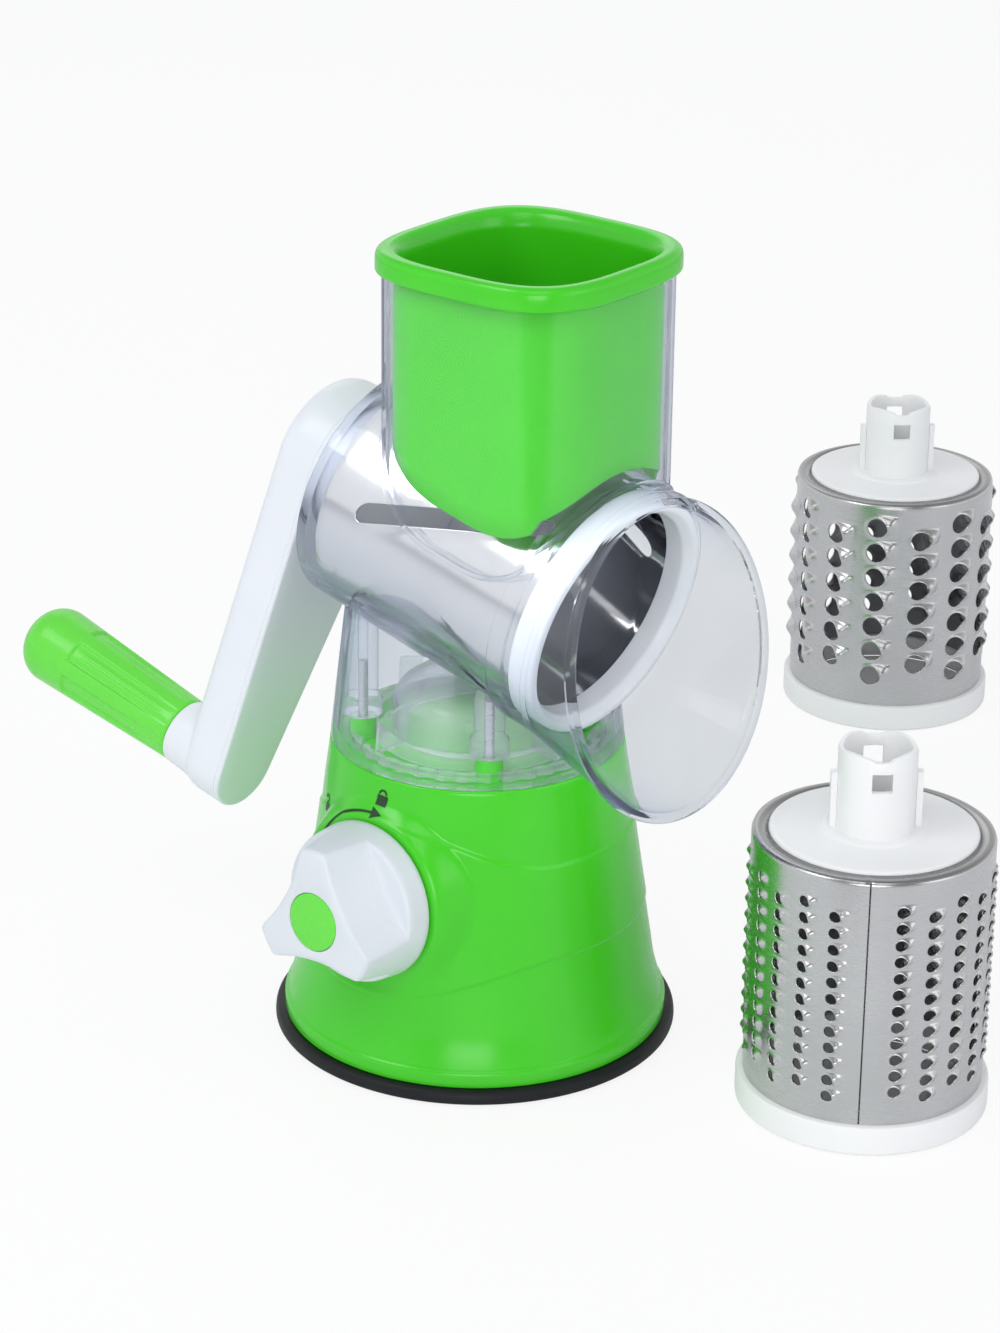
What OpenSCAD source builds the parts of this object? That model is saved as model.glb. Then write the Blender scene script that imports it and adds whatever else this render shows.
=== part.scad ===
// Rotary drum shredder for cabbage, turned by hand: a suction base with a clear housing on it,
// a sloping barrel with a feed chute above and a flared outlet in front, a cutting drum on a
// crank, and two more drums that stand beside it on the table.
// The origin is the centre of the suction cup's underside, +Z is up, the outlet faces -Y,
// the crank is on the +Y side and the suction knob on the -X side.

/* [Base] */
// Radius of the rubber suction cup
cup_r = 67.5; // [60:0.5:76]
// Thickness of the suction cup
cup_h = 4.8; // [4:0.1:7]
// Radius of the base at its foot
base_foot_r = 64.2; // [60:0.1:70]
// Radius of the base at its top edge
base_top_r = 48.3; // [46:0.1:54]
// Height of the top edge of the base
base_top_z = 103; // [96:1:115]
// Height of the upright lip round the foot
foot_lip_h = 5; // [3:0.5:8]
// Step from the foot lip in to the sloping wall
foot_step = 1.1; // [0.5:0.1:2]
// Wall of the base
base_wall = 2.4; // [1.6:0.1:3.5]
// Thickness of the deck that closes the base at the top
deck_h = 3; // [2:0.1:5]

/* [Suction knob] */
// Height of the knob's axis where it crosses the centre line of the base
knob_axis_z = 59.7; // [50:0.1:62]
// Upward slope of the knob's axis, in degrees
knob_rise = 3; // [0:0.5:8]
// How far the knob's flat seat stands out from the wall at the knob's height
knob_proud = 1; // [0.5:0.1:3]
// Radius of the knob's round skirt
knob_r = 26.4; // [22:0.1:30]
// Height of the knob from its seat to its outer face
knob_h = 27; // [20:0.5:36]
// Radius of the three lobes at the outer face
lobe_r = 24; // [18:0.5:26]
// Distance from the axis to the hollow side between two lobes
lobe_waist = 13.4; // [11:0.1:18]
// Height of the round skirt, where the hollows between the lobes stop
knob_ledge = 9.5; // [5:0.5:14]
// Angle by which the knob is turned on its axis in the photograph, in degrees
knob_turn = 3; // [-20:1:20]
// Radius of the cap in the middle of the knob
cap_r = 9.6; // [6:0.1:12]
// How far the cup's stem is lifted when the knob is turned
stem_lift = 4; // [2:0.5:6]

/* [Clear housing] */
// Height of the barrel's axis over the centre of the base
barrel_z = 171.5; // [165:0.5:180]
// Slope of the barrel down towards the outlet, in degrees
barrel_tilt = 14.2; // [8:0.1:16]
// Distance along the axis from the centre to the barrel's rear face
barrel_back = 41.8; // [40:0.1:46]
// Distance along the axis from the centre to the end of the straight barrel
barrel_front = 60; // [56:0.5:66]
// Wall of the barrel
barrel_wall = 2.1; // [1.6:0.1:3]
// Wall of the collar round the drum's ring
collar_wall = 2.5; // [1.8:0.1:3.4]
// Distance along the axis from the centre to the step up to that collar
collar_from = 41; // [40:0.5:44]
// Thickness of the barrel's rear wall
rear_wall = 2.5; // [2:0.1:4]
// Inward slope of the pedestal, as width lost per height
pedestal_lean = 0.11; // [0.06:0.01:0.14]
// Wall of the pedestal
pedestal_wall = 2.6; // [1.8:0.1:4]
// Radius of the outlet's lip, outside
mouth_r = 51.2; // [46:0.1:56]
// Distance along the axis from the centre to the middle of the outlet's lip
mouth_at = 81.8; // [76:0.1:90]
// How far the middle of the lip lies below the barrel's axis
mouth_drop = 2.2; // [0:0.1:6]
// Angle of the lip's plane to a cut square to the barrel, in degrees
mouth_lean = 25; // [15:0.5:30]
// Height of the top edge of the feed chute
chute_top_z = 264.6; // [240:0.1:290]
// Half the outer width of the chute
chute_half = 40; // [34:0.1:40.5]
// Wall of the chute
chute_wall = 2.2; // [1.6:0.1:3]
// How far the chute stands towards the outlet from the centre of the base
chute_forward = 19; // [12:0.1:20]
// Exponent of the chute's rounded square, where 2 is a circle and more is squarer
chute_square = 3.35; // [2.6:0.1:6]

/* [Pusher] */
// Height of the pusher's rim
pusher_rim_h = 7.6; // [4:0.1:12]
// Half the outer width of the pusher's rim
pusher_rim_half = 41.8; // [41:0.1:46]
// Gap between the pusher and the chute on each side
pusher_gap = 0.9; // [0.4:0.1:2]
// Wall of the pusher
pusher_wall = 2.4; // [1.6:0.1:3.5]
// Gap between the pusher's curved foot and the drum
pusher_clear = 3.4; // [2.5:0.1:6]

/* [Drums] */
// Outer radius of a drum's metal sheet
drum_r = 38.8; // [36:0.1:39]
// Thickness of the metal sheet
sheet = 0.8; // [0.5:0.1:1.2]
// Radial gap between the drum and the barrel
drum_gap = 1.1; // [0.8:0.1:2]
// Distance along the axis from the centre to the drum's rear edge
drum_back = 36.5; // [34:0.1:36.8]
// Distance along the axis from the centre to the front of the drum's ring
drum_front = 58.3; // [54:0.1:58.5]
// Outer radius of the plastic ring at the open end
ring_r = 41; // [40:0.1:41.2]
// Inner radius of that ring
ring_inner_r = 36; // [32:0.1:37]
// Height of that ring
ring_h = 10; // [7:0.5:14]
// How far the metal sheet sits in the ring
ring_seat = 3; // [2:0.5:5]
// Inner radius of the lip that is rolled in at the closed end
rolled_r = 33.6; // [30:0.1:35]
// Outer radius of the drive stem
stem_r = 12.6; // [10:0.1:13]
// Wall of the drive stem
stem_wall = 2; // [1.5:0.1:3]
// Length of the drive stem behind the drum's back plate
stem_len = 30.5; // [24:0.5:30.5]
// Radius over the two drive wings of the stem
wing_r = 14.8; // [14:0.1:15]
// Thickness of a drive wing
wing_w = 3; // [2:0.1:4]
// Side of the square windows in the stem
window_w = 6.5; // [4:0.5:8]

/* [Cutting patterns] */
// Number of slicing slots
slot_count = 3; // [3:1:5]
// Width of a slicing slot
slot_w = 7; // [4:0.1:9]
// Length of a slicing slot
slot_len = 64; // [40:1:70]
// Distance along the axis from the centre to the middle of the slots
slot_mid = 9.5; // [5:0.5:10]
// Slant of the slots to the drum's axis, in degrees
slot_slant = 23.5; // [0:0.5:28]
// Angle round the drum at which the first slot is centred, in degrees
slot_turn = 146.2; // [0:0.1:360]
// Number of columns of holes in the coarse drum
coarse_columns = 14; // [8:2:16]
// Holes in a long column of the coarse drum
coarse_rows = 7; // [4:1:7]
// Radius of a hole in the coarse drum
coarse_hole_r = 4; // [2.5:0.1:4.4]
// Distance between the holes in a column of the coarse drum
coarse_pitch = 10.4; // [9.6:0.1:10.8]
// How far the middle of that pattern lies towards the ring
coarse_shift = -1.5; // [-2:0.1:1]
// Angle of the first column of the coarse drum, in degrees
coarse_turn = 1.8; // [0:0.1:360]
// Number of columns that the fine drum has room for; one is left out at its seam
fine_columns = 23; // [13:2:25]
// Holes in a column of the fine drum
fine_rows = 12; // [6:1:12]
// Radius of a hole in the fine drum
fine_hole_r = 2; // [1.2:0.1:2.4]
// Distance between the holes in a column of the fine drum
fine_pitch = 5.7; // [5.4:0.1:6]
// How far the middle of that pattern lies towards the ring
fine_shift = 0.8; // [-1:0.1:2]
// Angle of the fine drum's seam, in degrees
fine_turn = 147.7; // [0:0.1:360]

/* [Crank] */
// Distance from the barrel's axis to the grip's axis
crank_reach = 115.3; // [95:0.1:130]
// Angle by which the crank hangs towards the knob's side, in degrees
crank_lean = 14.7; // [0:0.1:30]
// Radius of the arm round the barrel's axis
arm_hub_r = 25.2; // [22:0.1:28]
// Radius of the arm round the grip's axis
arm_end_r = 13.6; // [12:0.1:18]
// Thickness of the arm along the barrel's axis
arm_h = 17.8; // [14:0.1:22]
// Wall of the arm
arm_wall = 2.2; // [1.6:0.1:3]
// How much narrower the arm is at its rounded back
arm_round = 2.6; // [1:0.1:4]
// Length of the stub that carries the grip
stub_len = 10.5; // [6:0.5:16]
// Radius of the grip next to the stub
grip_root_r = 11.4; // [9:0.1:14]
// Radius of the grip at its outer end
grip_end_r = 13.7; // [10:0.1:17]
// Length of the grip
grip_len = 73; // [60:1:90]

/* [Spare drums on the table] */
// Place of the coarse drum across, from the centre of the base
coarse_x = 322; // [300:1:380]
// Place of the coarse drum along, from the centre of the base
coarse_y = 48; // [0:1:90]
// Place of the fine drum across, from the centre of the base
fine_x = 36; // [30:1:60]
// Place of the fine drum along, from the centre of the base
fine_y = -133; // [-160:1:-130]
// Angle by which the hubs of the spare drums are turned, in degrees
spare_hub_turn = 49; // [0:1:180]

/* [Hidden] */
$fn = 96;

// Colours
green = [0.36, 0.85, 0.22];
pale = [0.90, 0.92, 0.95];
clear_tint = [0.80, 0.88, 0.92, 0.45];
steel = [0.78, 0.79, 0.81];
black = [0.15, 0.15, 0.17];

// Clearances, and one overrun for every cut
run = 0.05;
seat_gap = 0.3;
slack = 0.2;
over = 1;

// Sloping wall of the base: share of the height, share of the width that is left
flare_shares = [
    [0.07, 0.91], [0.155, 0.77], [0.257, 0.667], [0.41, 0.515], [0.562, 0.365],
    [0.71, 0.23], [0.868, 0.11], [1, 0],
];

// Suction cup and stem
cup_edge = 1.2;
cup_rest_r = 58;
cup_dome = 2.6;
stem_foot_r = 13;
stem_foot_h = 3;
lift_stem_r = 7;
stem_guide_wall = 2.4;
spring_room = 18;
stem_top_z = base_top_z - deck_h - spring_room;
stem_guide_drop = 10;
guide_z = stem_top_z - stem_guide_drop;
stem_foot_z = cup_h + seat_gap;
cup_roof = 1.5;
cup_boss_h = stem_foot_h + 2 * seat_gap + cup_roof;

// Spring over the stem
spring_wire_r = 0.6;
spring_r = 5;
spring_turns = 5;
spring_steps = 12;
spring_sides = 6;

// Knob shaft and its eccentric pin
shaft_r = 6;
boss_wall = 3.4;
boss_len = 16;
collar_r = 8.4;
collar_h = 2.4;
cam_pin_r = 2.5;
cam_pin_reach = 9.4;
cam_throw = stem_lift / (2 * sin(45));
cam_cheek = 2.2;
slot_play = 0.25;
square_w = 8;
square_len = 12;
knob_screw_r = 1.9;
knob_screw_head_r = 4;
knob_screw_head_h = 2.6;
knob_screw_len = 14;
pocket_r = 6;

// Knob's shape
flute_r = 60;
flute_slope = 13;
cap_recess = 1.6;
cap_dome = 0.9;
core_r = 4.2;
core_at = 15;
core_depth = 16;
seat_margin = 0.8;
seat_spread = 2.5;

// Print round the knob
print_h = 0.25;
arrow_off = 2.6;
arrow_r = knob_r + arrow_off;
arrow_w = 0.9;
arrow_head = 4.2;
arrow_head_w = 3.4;
arrow_from = 2;
arrow_to = 46;
padlock_w = 4.2;
padlock_h = 3.4;
padlock_line = 0.7;
padlock_off = 8.4;
padlock_at = knob_r + padlock_off;
padlock_turn = -2;
padlock_open_turn = 50;

// Pedestal and its screws
post_edge = 10.7;
post_ring_r = base_top_r - post_edge;
post_at = post_ring_r / sqrt(2);
base_post_r = 4.4;
base_post_h = 8;
clear_post_r = 5;
post_collar_r = 6.4;
post_collar_h = 6;
screw_r = 1.45;
screw_free_r = 1.8;
screw_head_r = 3.4;
screw_head_h = 2.2;
screw_len = 30;
skirt_ring_w = 3.6;
skirt_ring_h = 3.2;
inner_wall_gap = 3.6;
inner_wall_r = post_ring_r - clear_post_r - inner_wall_gap;
inner_wall_h = 2;
inner_wall_foot = 2;
rib_w = 1.4;
rib_turn = 12;

// Barrel, worked out from the drum
bore_r = drum_r + drum_gap;
ring_gap = 0.7;
ring_bore_r = ring_r + ring_gap;
ring_run_in = 2.3;
ring_bore_from = drum_front - ring_h - ring_run_in;
barrel_back_r = bore_r + barrel_wall;
barrel_front_r = ring_bore_r + collar_wall;
lip_h = 3;
lip_wall = 2.2;
lip_flange = 1.6;
flare_proud = 0.3;
trumpet_wall = 2;
chute_sink = 6.5;
chute_start = barrel_z - chute_sink;
pedestal_sink = 3.5;
pedestal_top = barrel_z - pedestal_sink;
chute_in = chute_half - chute_wall;

// Flare of the pusher's opening: its height, and its spread as a share
pusher_flare_h = 5;
pusher_flare = 0.07;

// Bearing of the crank in the rear wall
neck_r = 24.5;
neck_wall = 2.5;
bush_r = neck_r - neck_wall;
bush_flange_r = 23.6;
bush_flange_h = 1.2;
neck_reach = 9.7;
arm_face = barrel_back + neck_reach;
neck_back = arm_face - seat_gap;
sleeve_r = 19;
sleeve_clear = 0.6;
sleeve_front = drum_back + sleeve_clear;
sleeve_in_r = stem_r + seat_gap;
keyway_r = wing_r + slack;
keyway_w = wing_w + 2 * slack;

// Drum hub
hub_plate_h = 2.5;
hub_disc_r = rolled_r - run;
wing_share = 0.7;
window_share = 0.72;
notch_w = 5;
notch_h = 3;
hub_web_h = 2;
hub_web_hole_r = 5.4;

// Crank arm, grip and drive plug
cover_h = 1.8;
round_from = 7;
arm_back = arm_face + arm_h;
arm_floor = arm_back - arm_wall;
stub_step = 0.3;
stub_tip_r = grip_root_r + stub_step;
grip_start = arm_back + stub_len + seat_gap;
axle_r = 5;
axle_snap_r = 5.8;
axle_snap_h = 2.4;
axle_share = 0.76;
axle_hole_r = 1.6;
axle_spigot_r = 3.4;
grip_bore_r = axle_r + run;
grip_nose_share = 0.8;
grip_panels = 6;
grip_panel_w = 7;
grip_panel_depth = 0.8;
grip_panel_from = 16;
grip_panel_to = 6;
plug_r = stem_r - stem_wall - slack;
plug_len = 18;
plug_screw_r = 1.9;
plug_screw_len = 16;
plug_screw_head_r = 3.8;
plug_screw_head_h = 2;

// Frames: each child stands on a local Z axis
module on_barrel() {
    translate([0, 0, barrel_z]) rotate([90 + barrel_tilt, 0, 0]) children();
}

module on_crank() {
    on_barrel() rotate([0, 0, -crank_lean]) children();
}

module on_grip() {
    on_crank() translate([0, -crank_reach, -grip_start]) rotate([180, 0, 0]) children();
}

module on_knob() {
    translate([0, 0, knob_axis_z]) rotate([0, knob_rise - 90, 0]) children();
}

module on_mouth() {
    on_barrel() translate([0, -mouth_drop, mouth_at]) rotate([-mouth_lean, 0, 0]) children();
}

module standing(x, y) {
    translate([x, y, drum_front]) rotate([180, 0, 0]) children();
}

// Rounded square with bulging sides: a superellipse of half width a
function bulged(a, steps = 72) = [
    for (i = [0 : steps - 1])
    let (t = 360 * i / steps)
    let (r = a / pow(pow(abs(cos(t)), chute_square) + pow(abs(sin(t)), chute_square),
                     1 / chute_square))
    [r * cos(t), r * sin(t)]
];

module chute_block(a, from, to) {
    translate([0, -chute_forward, from]) linear_extrude(to - from) polygon(bulged(a));
}

module tube(outer, inner, h) {
    difference() {
        cylinder(r = outer, h = h);
        translate([0, 0, -over]) cylinder(r = inner, h = h + 2 * over);
    }
}

// Base
function wall_z(share) = cup_h + share * (base_top_z - cup_h);
function wall_r(share) = base_top_r + share * (base_foot_r - base_top_r);
knob_seat = wall_r(lookup((knob_axis_z - cup_h) / (base_top_z - cup_h), flare_shares)) + knob_proud;

module base_solid(inset) {
    rotate_extrude() polygon(concat(
        [[0, cup_h], [base_foot_r - inset, cup_h], [base_foot_r - inset, cup_h + foot_lip_h],
         [base_foot_r - foot_step - inset, cup_h + foot_lip_h + foot_step]],
        [for (s = flare_shares) [wall_r(s[1]) - inset, wall_z(s[0])]],
        [[0, base_top_z]]
    ));
}

// The boss that carries the knob: it widens towards the wall
module knob_boss(grow) {
    boss_r = knob_r + seat_margin;
    translate([0, 0, knob_seat - boss_len]) {
        cylinder(r1 = boss_r + seat_spread + grow, r2 = boss_r + grow, h = boss_len);
    }
}

module at_posts() {
    for (x = [-post_at, post_at], y = [-post_at, post_at]) translate([x, y, 0]) children();
}

module suction_cup() color(black) difference() {
    union() {
        cylinder(r = cup_r, h = cup_h - cup_edge);
        translate([0, 0, cup_h - cup_edge]) cylinder(r1 = cup_r, r2 = cup_r - cup_edge, h = cup_edge);
        translate([0, 0, cup_h]) cylinder(r = stem_foot_r + 2 * cup_edge, h = cup_boss_h);
    }
    translate([0, 0, stem_foot_z - seat_gap]) {
        cylinder(r = stem_foot_r + slack, h = stem_foot_h + 2 * seat_gap);
    }
    translate([0, 0, cup_h]) cylinder(r = lift_stem_r + slack, h = cup_boss_h + over);
    translate([0, 0, -over]) cylinder(r = cup_rest_r, h = over);
    cylinder(r1 = cup_rest_r, r2 = stem_foot_r, h = cup_dome);
}

module base_shell() color(green) difference() {
    union() {
        difference() {
            base_solid(0);
            intersection() {
                base_solid(base_wall);
                translate([0, 0, cup_h]) cylinder(r = base_foot_r, h = base_top_z - deck_h - cup_h);
            }
            translate([0, 0, cup_h - over]) cylinder(r = base_foot_r - base_wall, h = 2 * over);
        }
        intersection() {
            on_knob() knob_boss(0);
            union() {
                difference() {
                    cylinder(r = base_foot_r + knob_r, h = base_top_z);
                    base_solid(base_wall);
                }
                on_knob() cylinder(r = shaft_r + boss_wall, h = knob_seat);
            }
        }
        translate([0, 0, guide_z]) {
            tube(lift_stem_r + stem_guide_wall, lift_stem_r + run, base_top_z - deck_h / 2 - guide_z);
        }
        at_posts() translate([0, 0, base_top_z - deck_h / 2]) {
            cylinder(r = base_post_r, h = base_post_h + deck_h / 2);
        }
    }
    on_knob() translate([0, 0, knob_seat]) cylinder(r = knob_r + seat_margin, h = knob_h);
    on_knob() translate([0, 0, knob_seat - boss_len - over]) {
        cylinder(r = shaft_r + run, h = boss_len + 2 * over);
    }
    at_posts() translate([0, 0, base_top_z - deck_h - over]) {
        cylinder(r = screw_free_r, h = deck_h + base_post_h + 2 * over);
    }
}

// The stem that pulls the cup up: a rod with a foot in the rubber and a cross slot for the pin
module lift_stem() color(pale) difference() {
    union() {
        translate([0, 0, stem_foot_z]) cylinder(r = stem_foot_r, h = stem_foot_h);
        translate([0, 0, stem_foot_z]) cylinder(r = lift_stem_r, h = stem_top_z - stem_foot_z);
    }
    translate([0, 0, knob_axis_z - stem_lift / 2]) rotate([0, knob_rise - 90, 0]) {
        translate([0, 0, -lift_stem_r - over]) linear_extrude(2 * (lift_stem_r + over)) {
            square([2 * (cam_pin_r + slot_play), 2 * (cam_throw + slot_play)], center = true);
            for (y = [-1, 1]) translate([0, y * (cam_throw + slot_play)]) {
                circle(r = cam_pin_r + slot_play);
            }
        }
    }
}

// Points of the spring's wire, one ring after another, joined into a closed skin
function spring_mid(i, rise) =
    let (a = 360 * i / spring_steps)
    [spring_r * cos(a), spring_r * sin(a), rise * i / (spring_turns * spring_steps)];

module lift_spring() {
    rise = spring_room - 2 * (spring_wire_r + seat_gap);
    rings = spring_turns * spring_steps;
    points = [
        for (i = [0 : rings], k = [0 : spring_sides - 1])
        let (m = spring_mid(i, rise), a = 360 * i / spring_steps, b = 360 * k / spring_sides)
        [m[0] + spring_wire_r * cos(b) * cos(a), m[1] + spring_wire_r * cos(b) * sin(a),
         m[2] + spring_wire_r * sin(b)]
    ];
    sides = [
        for (i = [0 : rings - 1], k = [0 : spring_sides - 1], half = [0, 1])
        let (a = i * spring_sides + k, b = i * spring_sides + (k + 1) % spring_sides)
        half == 0 ? [a, a + spring_sides, b] : [b, a + spring_sides, b + spring_sides]
    ];
    first = [for (k = [1 : spring_sides - 2]) [0, k, k + 1]];
    last = [for (k = [1 : spring_sides - 2])
            [rings * spring_sides, rings * spring_sides + k + 1, rings * spring_sides + k]];
    echo(spring_gap = rise / spring_turns - 2 * spring_wire_r);
    color(steel) translate([0, 0, stem_top_z + seat_gap + spring_wire_r]) {
        polyhedron(points, concat(sides, first, last), convexity = 6);
    }
}

// Shaft of the knob, with a square end outside and a pin off its axis inside
module cam_shaft() color(pale) on_knob() difference() {
    inner = lift_stem_r + cam_cheek;
    union() {
        translate([0, 0, inner]) cylinder(r = shaft_r, h = knob_seat - inner);
        translate([0, 0, inner]) cylinder(r = collar_r, h = knob_seat - boss_len - seat_gap - inner);
        translate([0, 0, knob_seat - over]) rotate([0, 0, knob_turn]) {
            linear_extrude(square_len + over) square(square_w, center = true);
        }
        rotate([0, 0, -45]) translate([-cam_throw, 0, -cam_pin_reach]) {
            cylinder(r = cam_pin_r, h = cam_pin_reach + inner + over);
        }
    }
    translate([0, 0, knob_seat + square_len - knob_screw_len]) {
        cylinder(r = knob_screw_r, h = knob_screw_len + over);
    }
}

// Three-lobed knob: a tapered plug with a round skirt, and a long hollow between each two lobes
module knob() color(pale) on_knob() translate([0, 0, knob_seat + seat_gap]) rotate([0, 0, knob_turn]) difference() {
    cylinder(r1 = knob_r, r2 = lobe_r, h = knob_h - seat_gap);
    intersection() {
        translate([0, 0, knob_ledge]) cylinder(r = 2 * knob_r, h = knob_h);
        for (a = [60, 180, 300]) rotate([0, 0, a]) {
            translate([lobe_waist + flute_r, 0, knob_h]) rotate([0, -flute_slope, 0]) {
                translate([0, 0, -2 * knob_h]) cylinder(r = flute_r, h = 3 * knob_h);
            }
        }
    }
    translate([0, 0, knob_h - seat_gap - cap_recess]) cylinder(r = cap_r + slack, h = cap_recess + over);
    translate([0, 0, square_len + seat_gap + over]) cylinder(r = pocket_r, h = knob_h);
    translate([0, 0, -over]) linear_extrude(square_len + seat_gap + over) {
        square(square_w + 2 * run, center = true);
    }
    cylinder(r = knob_screw_r + slack, h = knob_h);
    for (a = [0, 120, 240]) rotate([0, 0, a]) translate([core_at, 0, -over]) {
        cylinder(r = core_r, h = core_depth + over);
    }
}

module knob_cap() color(green) on_knob() {
    translate([0, 0, knob_seat + knob_h - cap_recess]) cylinder(r = cap_r, h = cap_recess);
    translate([0, 0, knob_seat + knob_h]) cylinder(r1 = cap_r, r2 = cap_r - 3 * cap_dome, h = cap_dome);
}

module screw(shank_r, shank_len, head_r, head_h) {
    cylinder(r = head_r, h = head_h);
    translate([0, 0, head_h]) cylinder(r = shank_r, h = shank_len);
}

module knob_screw() color(steel) on_knob() {
    head = knob_seat + square_len + 2 * seat_gap + over;
    translate([0, 0, head + knob_screw_head_h]) rotate([180, 0, 0]) {
        screw(knob_screw_r - run, knob_screw_len - 2 * over, knob_screw_head_r, knob_screw_head_h);
    }
}

// Turn arrow and two padlock signs, printed on the wall of the base
module padlock(open) {
    translate([-padlock_h / 2, 0]) square([padlock_h, padlock_w], center = true);
    translate([0, open ? padlock_w / 2 : 0]) difference() {
        translate([padlock_line, 0]) circle(r = padlock_w / 2 - padlock_line / 2, $fn = 32);
        translate([padlock_line, 0]) circle(r = padlock_w / 2 - 3 * padlock_line / 2, $fn = 32);
        translate([-padlock_w, 0]) square([2 * padlock_w, 2 * padlock_w], center = true);
    }
}

module arrow_print() {
    intersection() {
        difference() {
            circle(r = arrow_r + arrow_w / 2);
            circle(r = arrow_r - arrow_w / 2);
        }
        polygon(concat([[0, 0]], [
            for (i = [0 : 6])
            let (a = arrow_from + (arrow_to - arrow_from) * i / 6)
            2 * arrow_r * [cos(a), sin(a)]
        ]));
    }
    rotate([0, 0, arrow_from]) polygon([
        [arrow_r - arrow_head_w / 2, 0], [arrow_r + arrow_head_w / 2, 0], [arrow_r, -arrow_head],
    ]);
    rotate([0, 0, padlock_turn]) translate([padlock_at, 0]) padlock(false);
    rotate([0, 0, padlock_open_turn]) translate([padlock_at, 0]) {
        rotate([0, 0, -padlock_open_turn]) padlock(true);
    }
}

module lock_marks() color(black) intersection() {
    difference() {
        base_solid(-print_h);
        base_solid(-run);
        on_knob() knob_boss(run);
    }
    on_knob() translate([0, 0, knob_seat / 2]) linear_extrude(knob_seat) arrow_print();
}

// Clear housing
module pedestal_cone(inset) {
    cylinder(r1 = base_top_r - inset,
             r2 = base_top_r - inset - pedestal_lean * (pedestal_top - base_top_z),
             h = pedestal_top - base_top_z);
}

// The flare between the barrel's collar and the lip; its root stands a little proud of the collar
module trumpet() {
    hull() {
        on_barrel() translate([0, 0, barrel_front - lip_h]) {
            cylinder(r = barrel_front_r + flare_proud, h = seat_gap, $fn = 64);
        }
        on_mouth() translate([0, 0, -lip_h / 2]) {
            cylinder(r = mouth_r - lip_flange, h = seat_gap, $fn = 64);
        }
    }
}

module trumpet_hollow() {
    hull() {
        on_barrel() translate([0, 0, barrel_front - lip_h]) {
            cylinder(r = ring_bore_r + flare_proud, h = seat_gap, $fn = 64);
        }
        on_mouth() translate([0, 0, flare_proud]) {
            cylinder(r = mouth_r - lip_flange - trumpet_wall, h = over, $fn = 64);
        }
    }
}

module barrel_outside() {
    on_barrel() {
        translate([0, 0, -barrel_back]) cylinder(r = barrel_back_r, h = barrel_back + collar_from + over);
        translate([0, 0, collar_from]) cylinder(r = barrel_front_r, h = barrel_front - collar_from);
        translate([0, 0, -neck_back]) cylinder(r = neck_r, h = neck_back - barrel_back + over);
    }
    trumpet();
    on_mouth() translate([0, 0, -lip_h]) cylinder(r = mouth_r, h = lip_h);
}

module clear_posts() {
    top = pedestal_top - base_top_z;
    at_posts() {
        translate([0, 0, base_post_h + seat_gap]) cylinder(r = clear_post_r, h = top - base_post_h);
        translate([0, 0, base_post_h + seat_gap]) cylinder(r = post_collar_r, h = post_collar_h);
    }
    translate([0, 0, inner_wall_foot]) tube(inner_wall_r, inner_wall_r - inner_wall_h, top / 2);
    for (a = [0 : 90 : 270]) rotate([0, 0, a - rib_turn]) {
        translate([inner_wall_r - inner_wall_h / 2, -rib_w / 2, inner_wall_foot + rib_w]) {
            cube([base_top_r - inner_wall_r, rib_w, top / 2 - 3 * rib_w]);
        }
    }
}

module clear_housing() color(clear_tint) difference() {
    union() {
        translate([0, 0, base_top_z]) {
            difference() {
                pedestal_cone(0);
                translate([0, 0, skirt_ring_h]) pedestal_cone(pedestal_wall);
                translate([0, 0, -over]) cylinder(r = base_top_r - pedestal_wall - skirt_ring_w,
                                                  h = skirt_ring_h + 2 * over);
            }
            intersection() {
                pedestal_cone(pedestal_wall / 2);
                clear_posts();
            }
        }
        barrel_outside();
        chute_block(chute_half, chute_start, chute_top_z);
    }
    on_barrel() {
        translate([0, 0, rear_wall - barrel_back]) {
            cylinder(r = bore_r, h = barrel_back + barrel_front - rear_wall);
        }
        translate([0, 0, ring_bore_from]) {
            cylinder(r = ring_bore_r, h = barrel_front - lip_h / 2 - ring_bore_from);
        }
        translate([0, 0, -neck_back - over]) cylinder(r = bush_r, h = neck_back + over);
    }
    trumpet_hollow();
    difference() {
        chute_block(chute_in, chute_start, chute_top_z + over);
        on_barrel() translate([0, 0, collar_from]) cylinder(r = barrel_front_r, h = barrel_front);
    }
    translate([0, 0, base_top_z + base_post_h]) at_posts() {
        cylinder(r = screw_r + run, h = screw_len - base_post_h);
    }
}

module housing_screws() color(steel) at_posts() {
    translate([0, 0, base_top_z - deck_h - screw_head_h]) {
        screw(screw_r, screw_len, screw_head_r, screw_head_h);
    }
}

module rear_bush() color(pale) on_barrel() {
    front = rear_wall - barrel_back;
    translate([0, 0, -neck_back]) tube(bush_r - run, sleeve_r + run, neck_back + front);
    translate([0, 0, front]) tube(bush_flange_r, sleeve_r + run, bush_flange_h);
}

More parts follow.
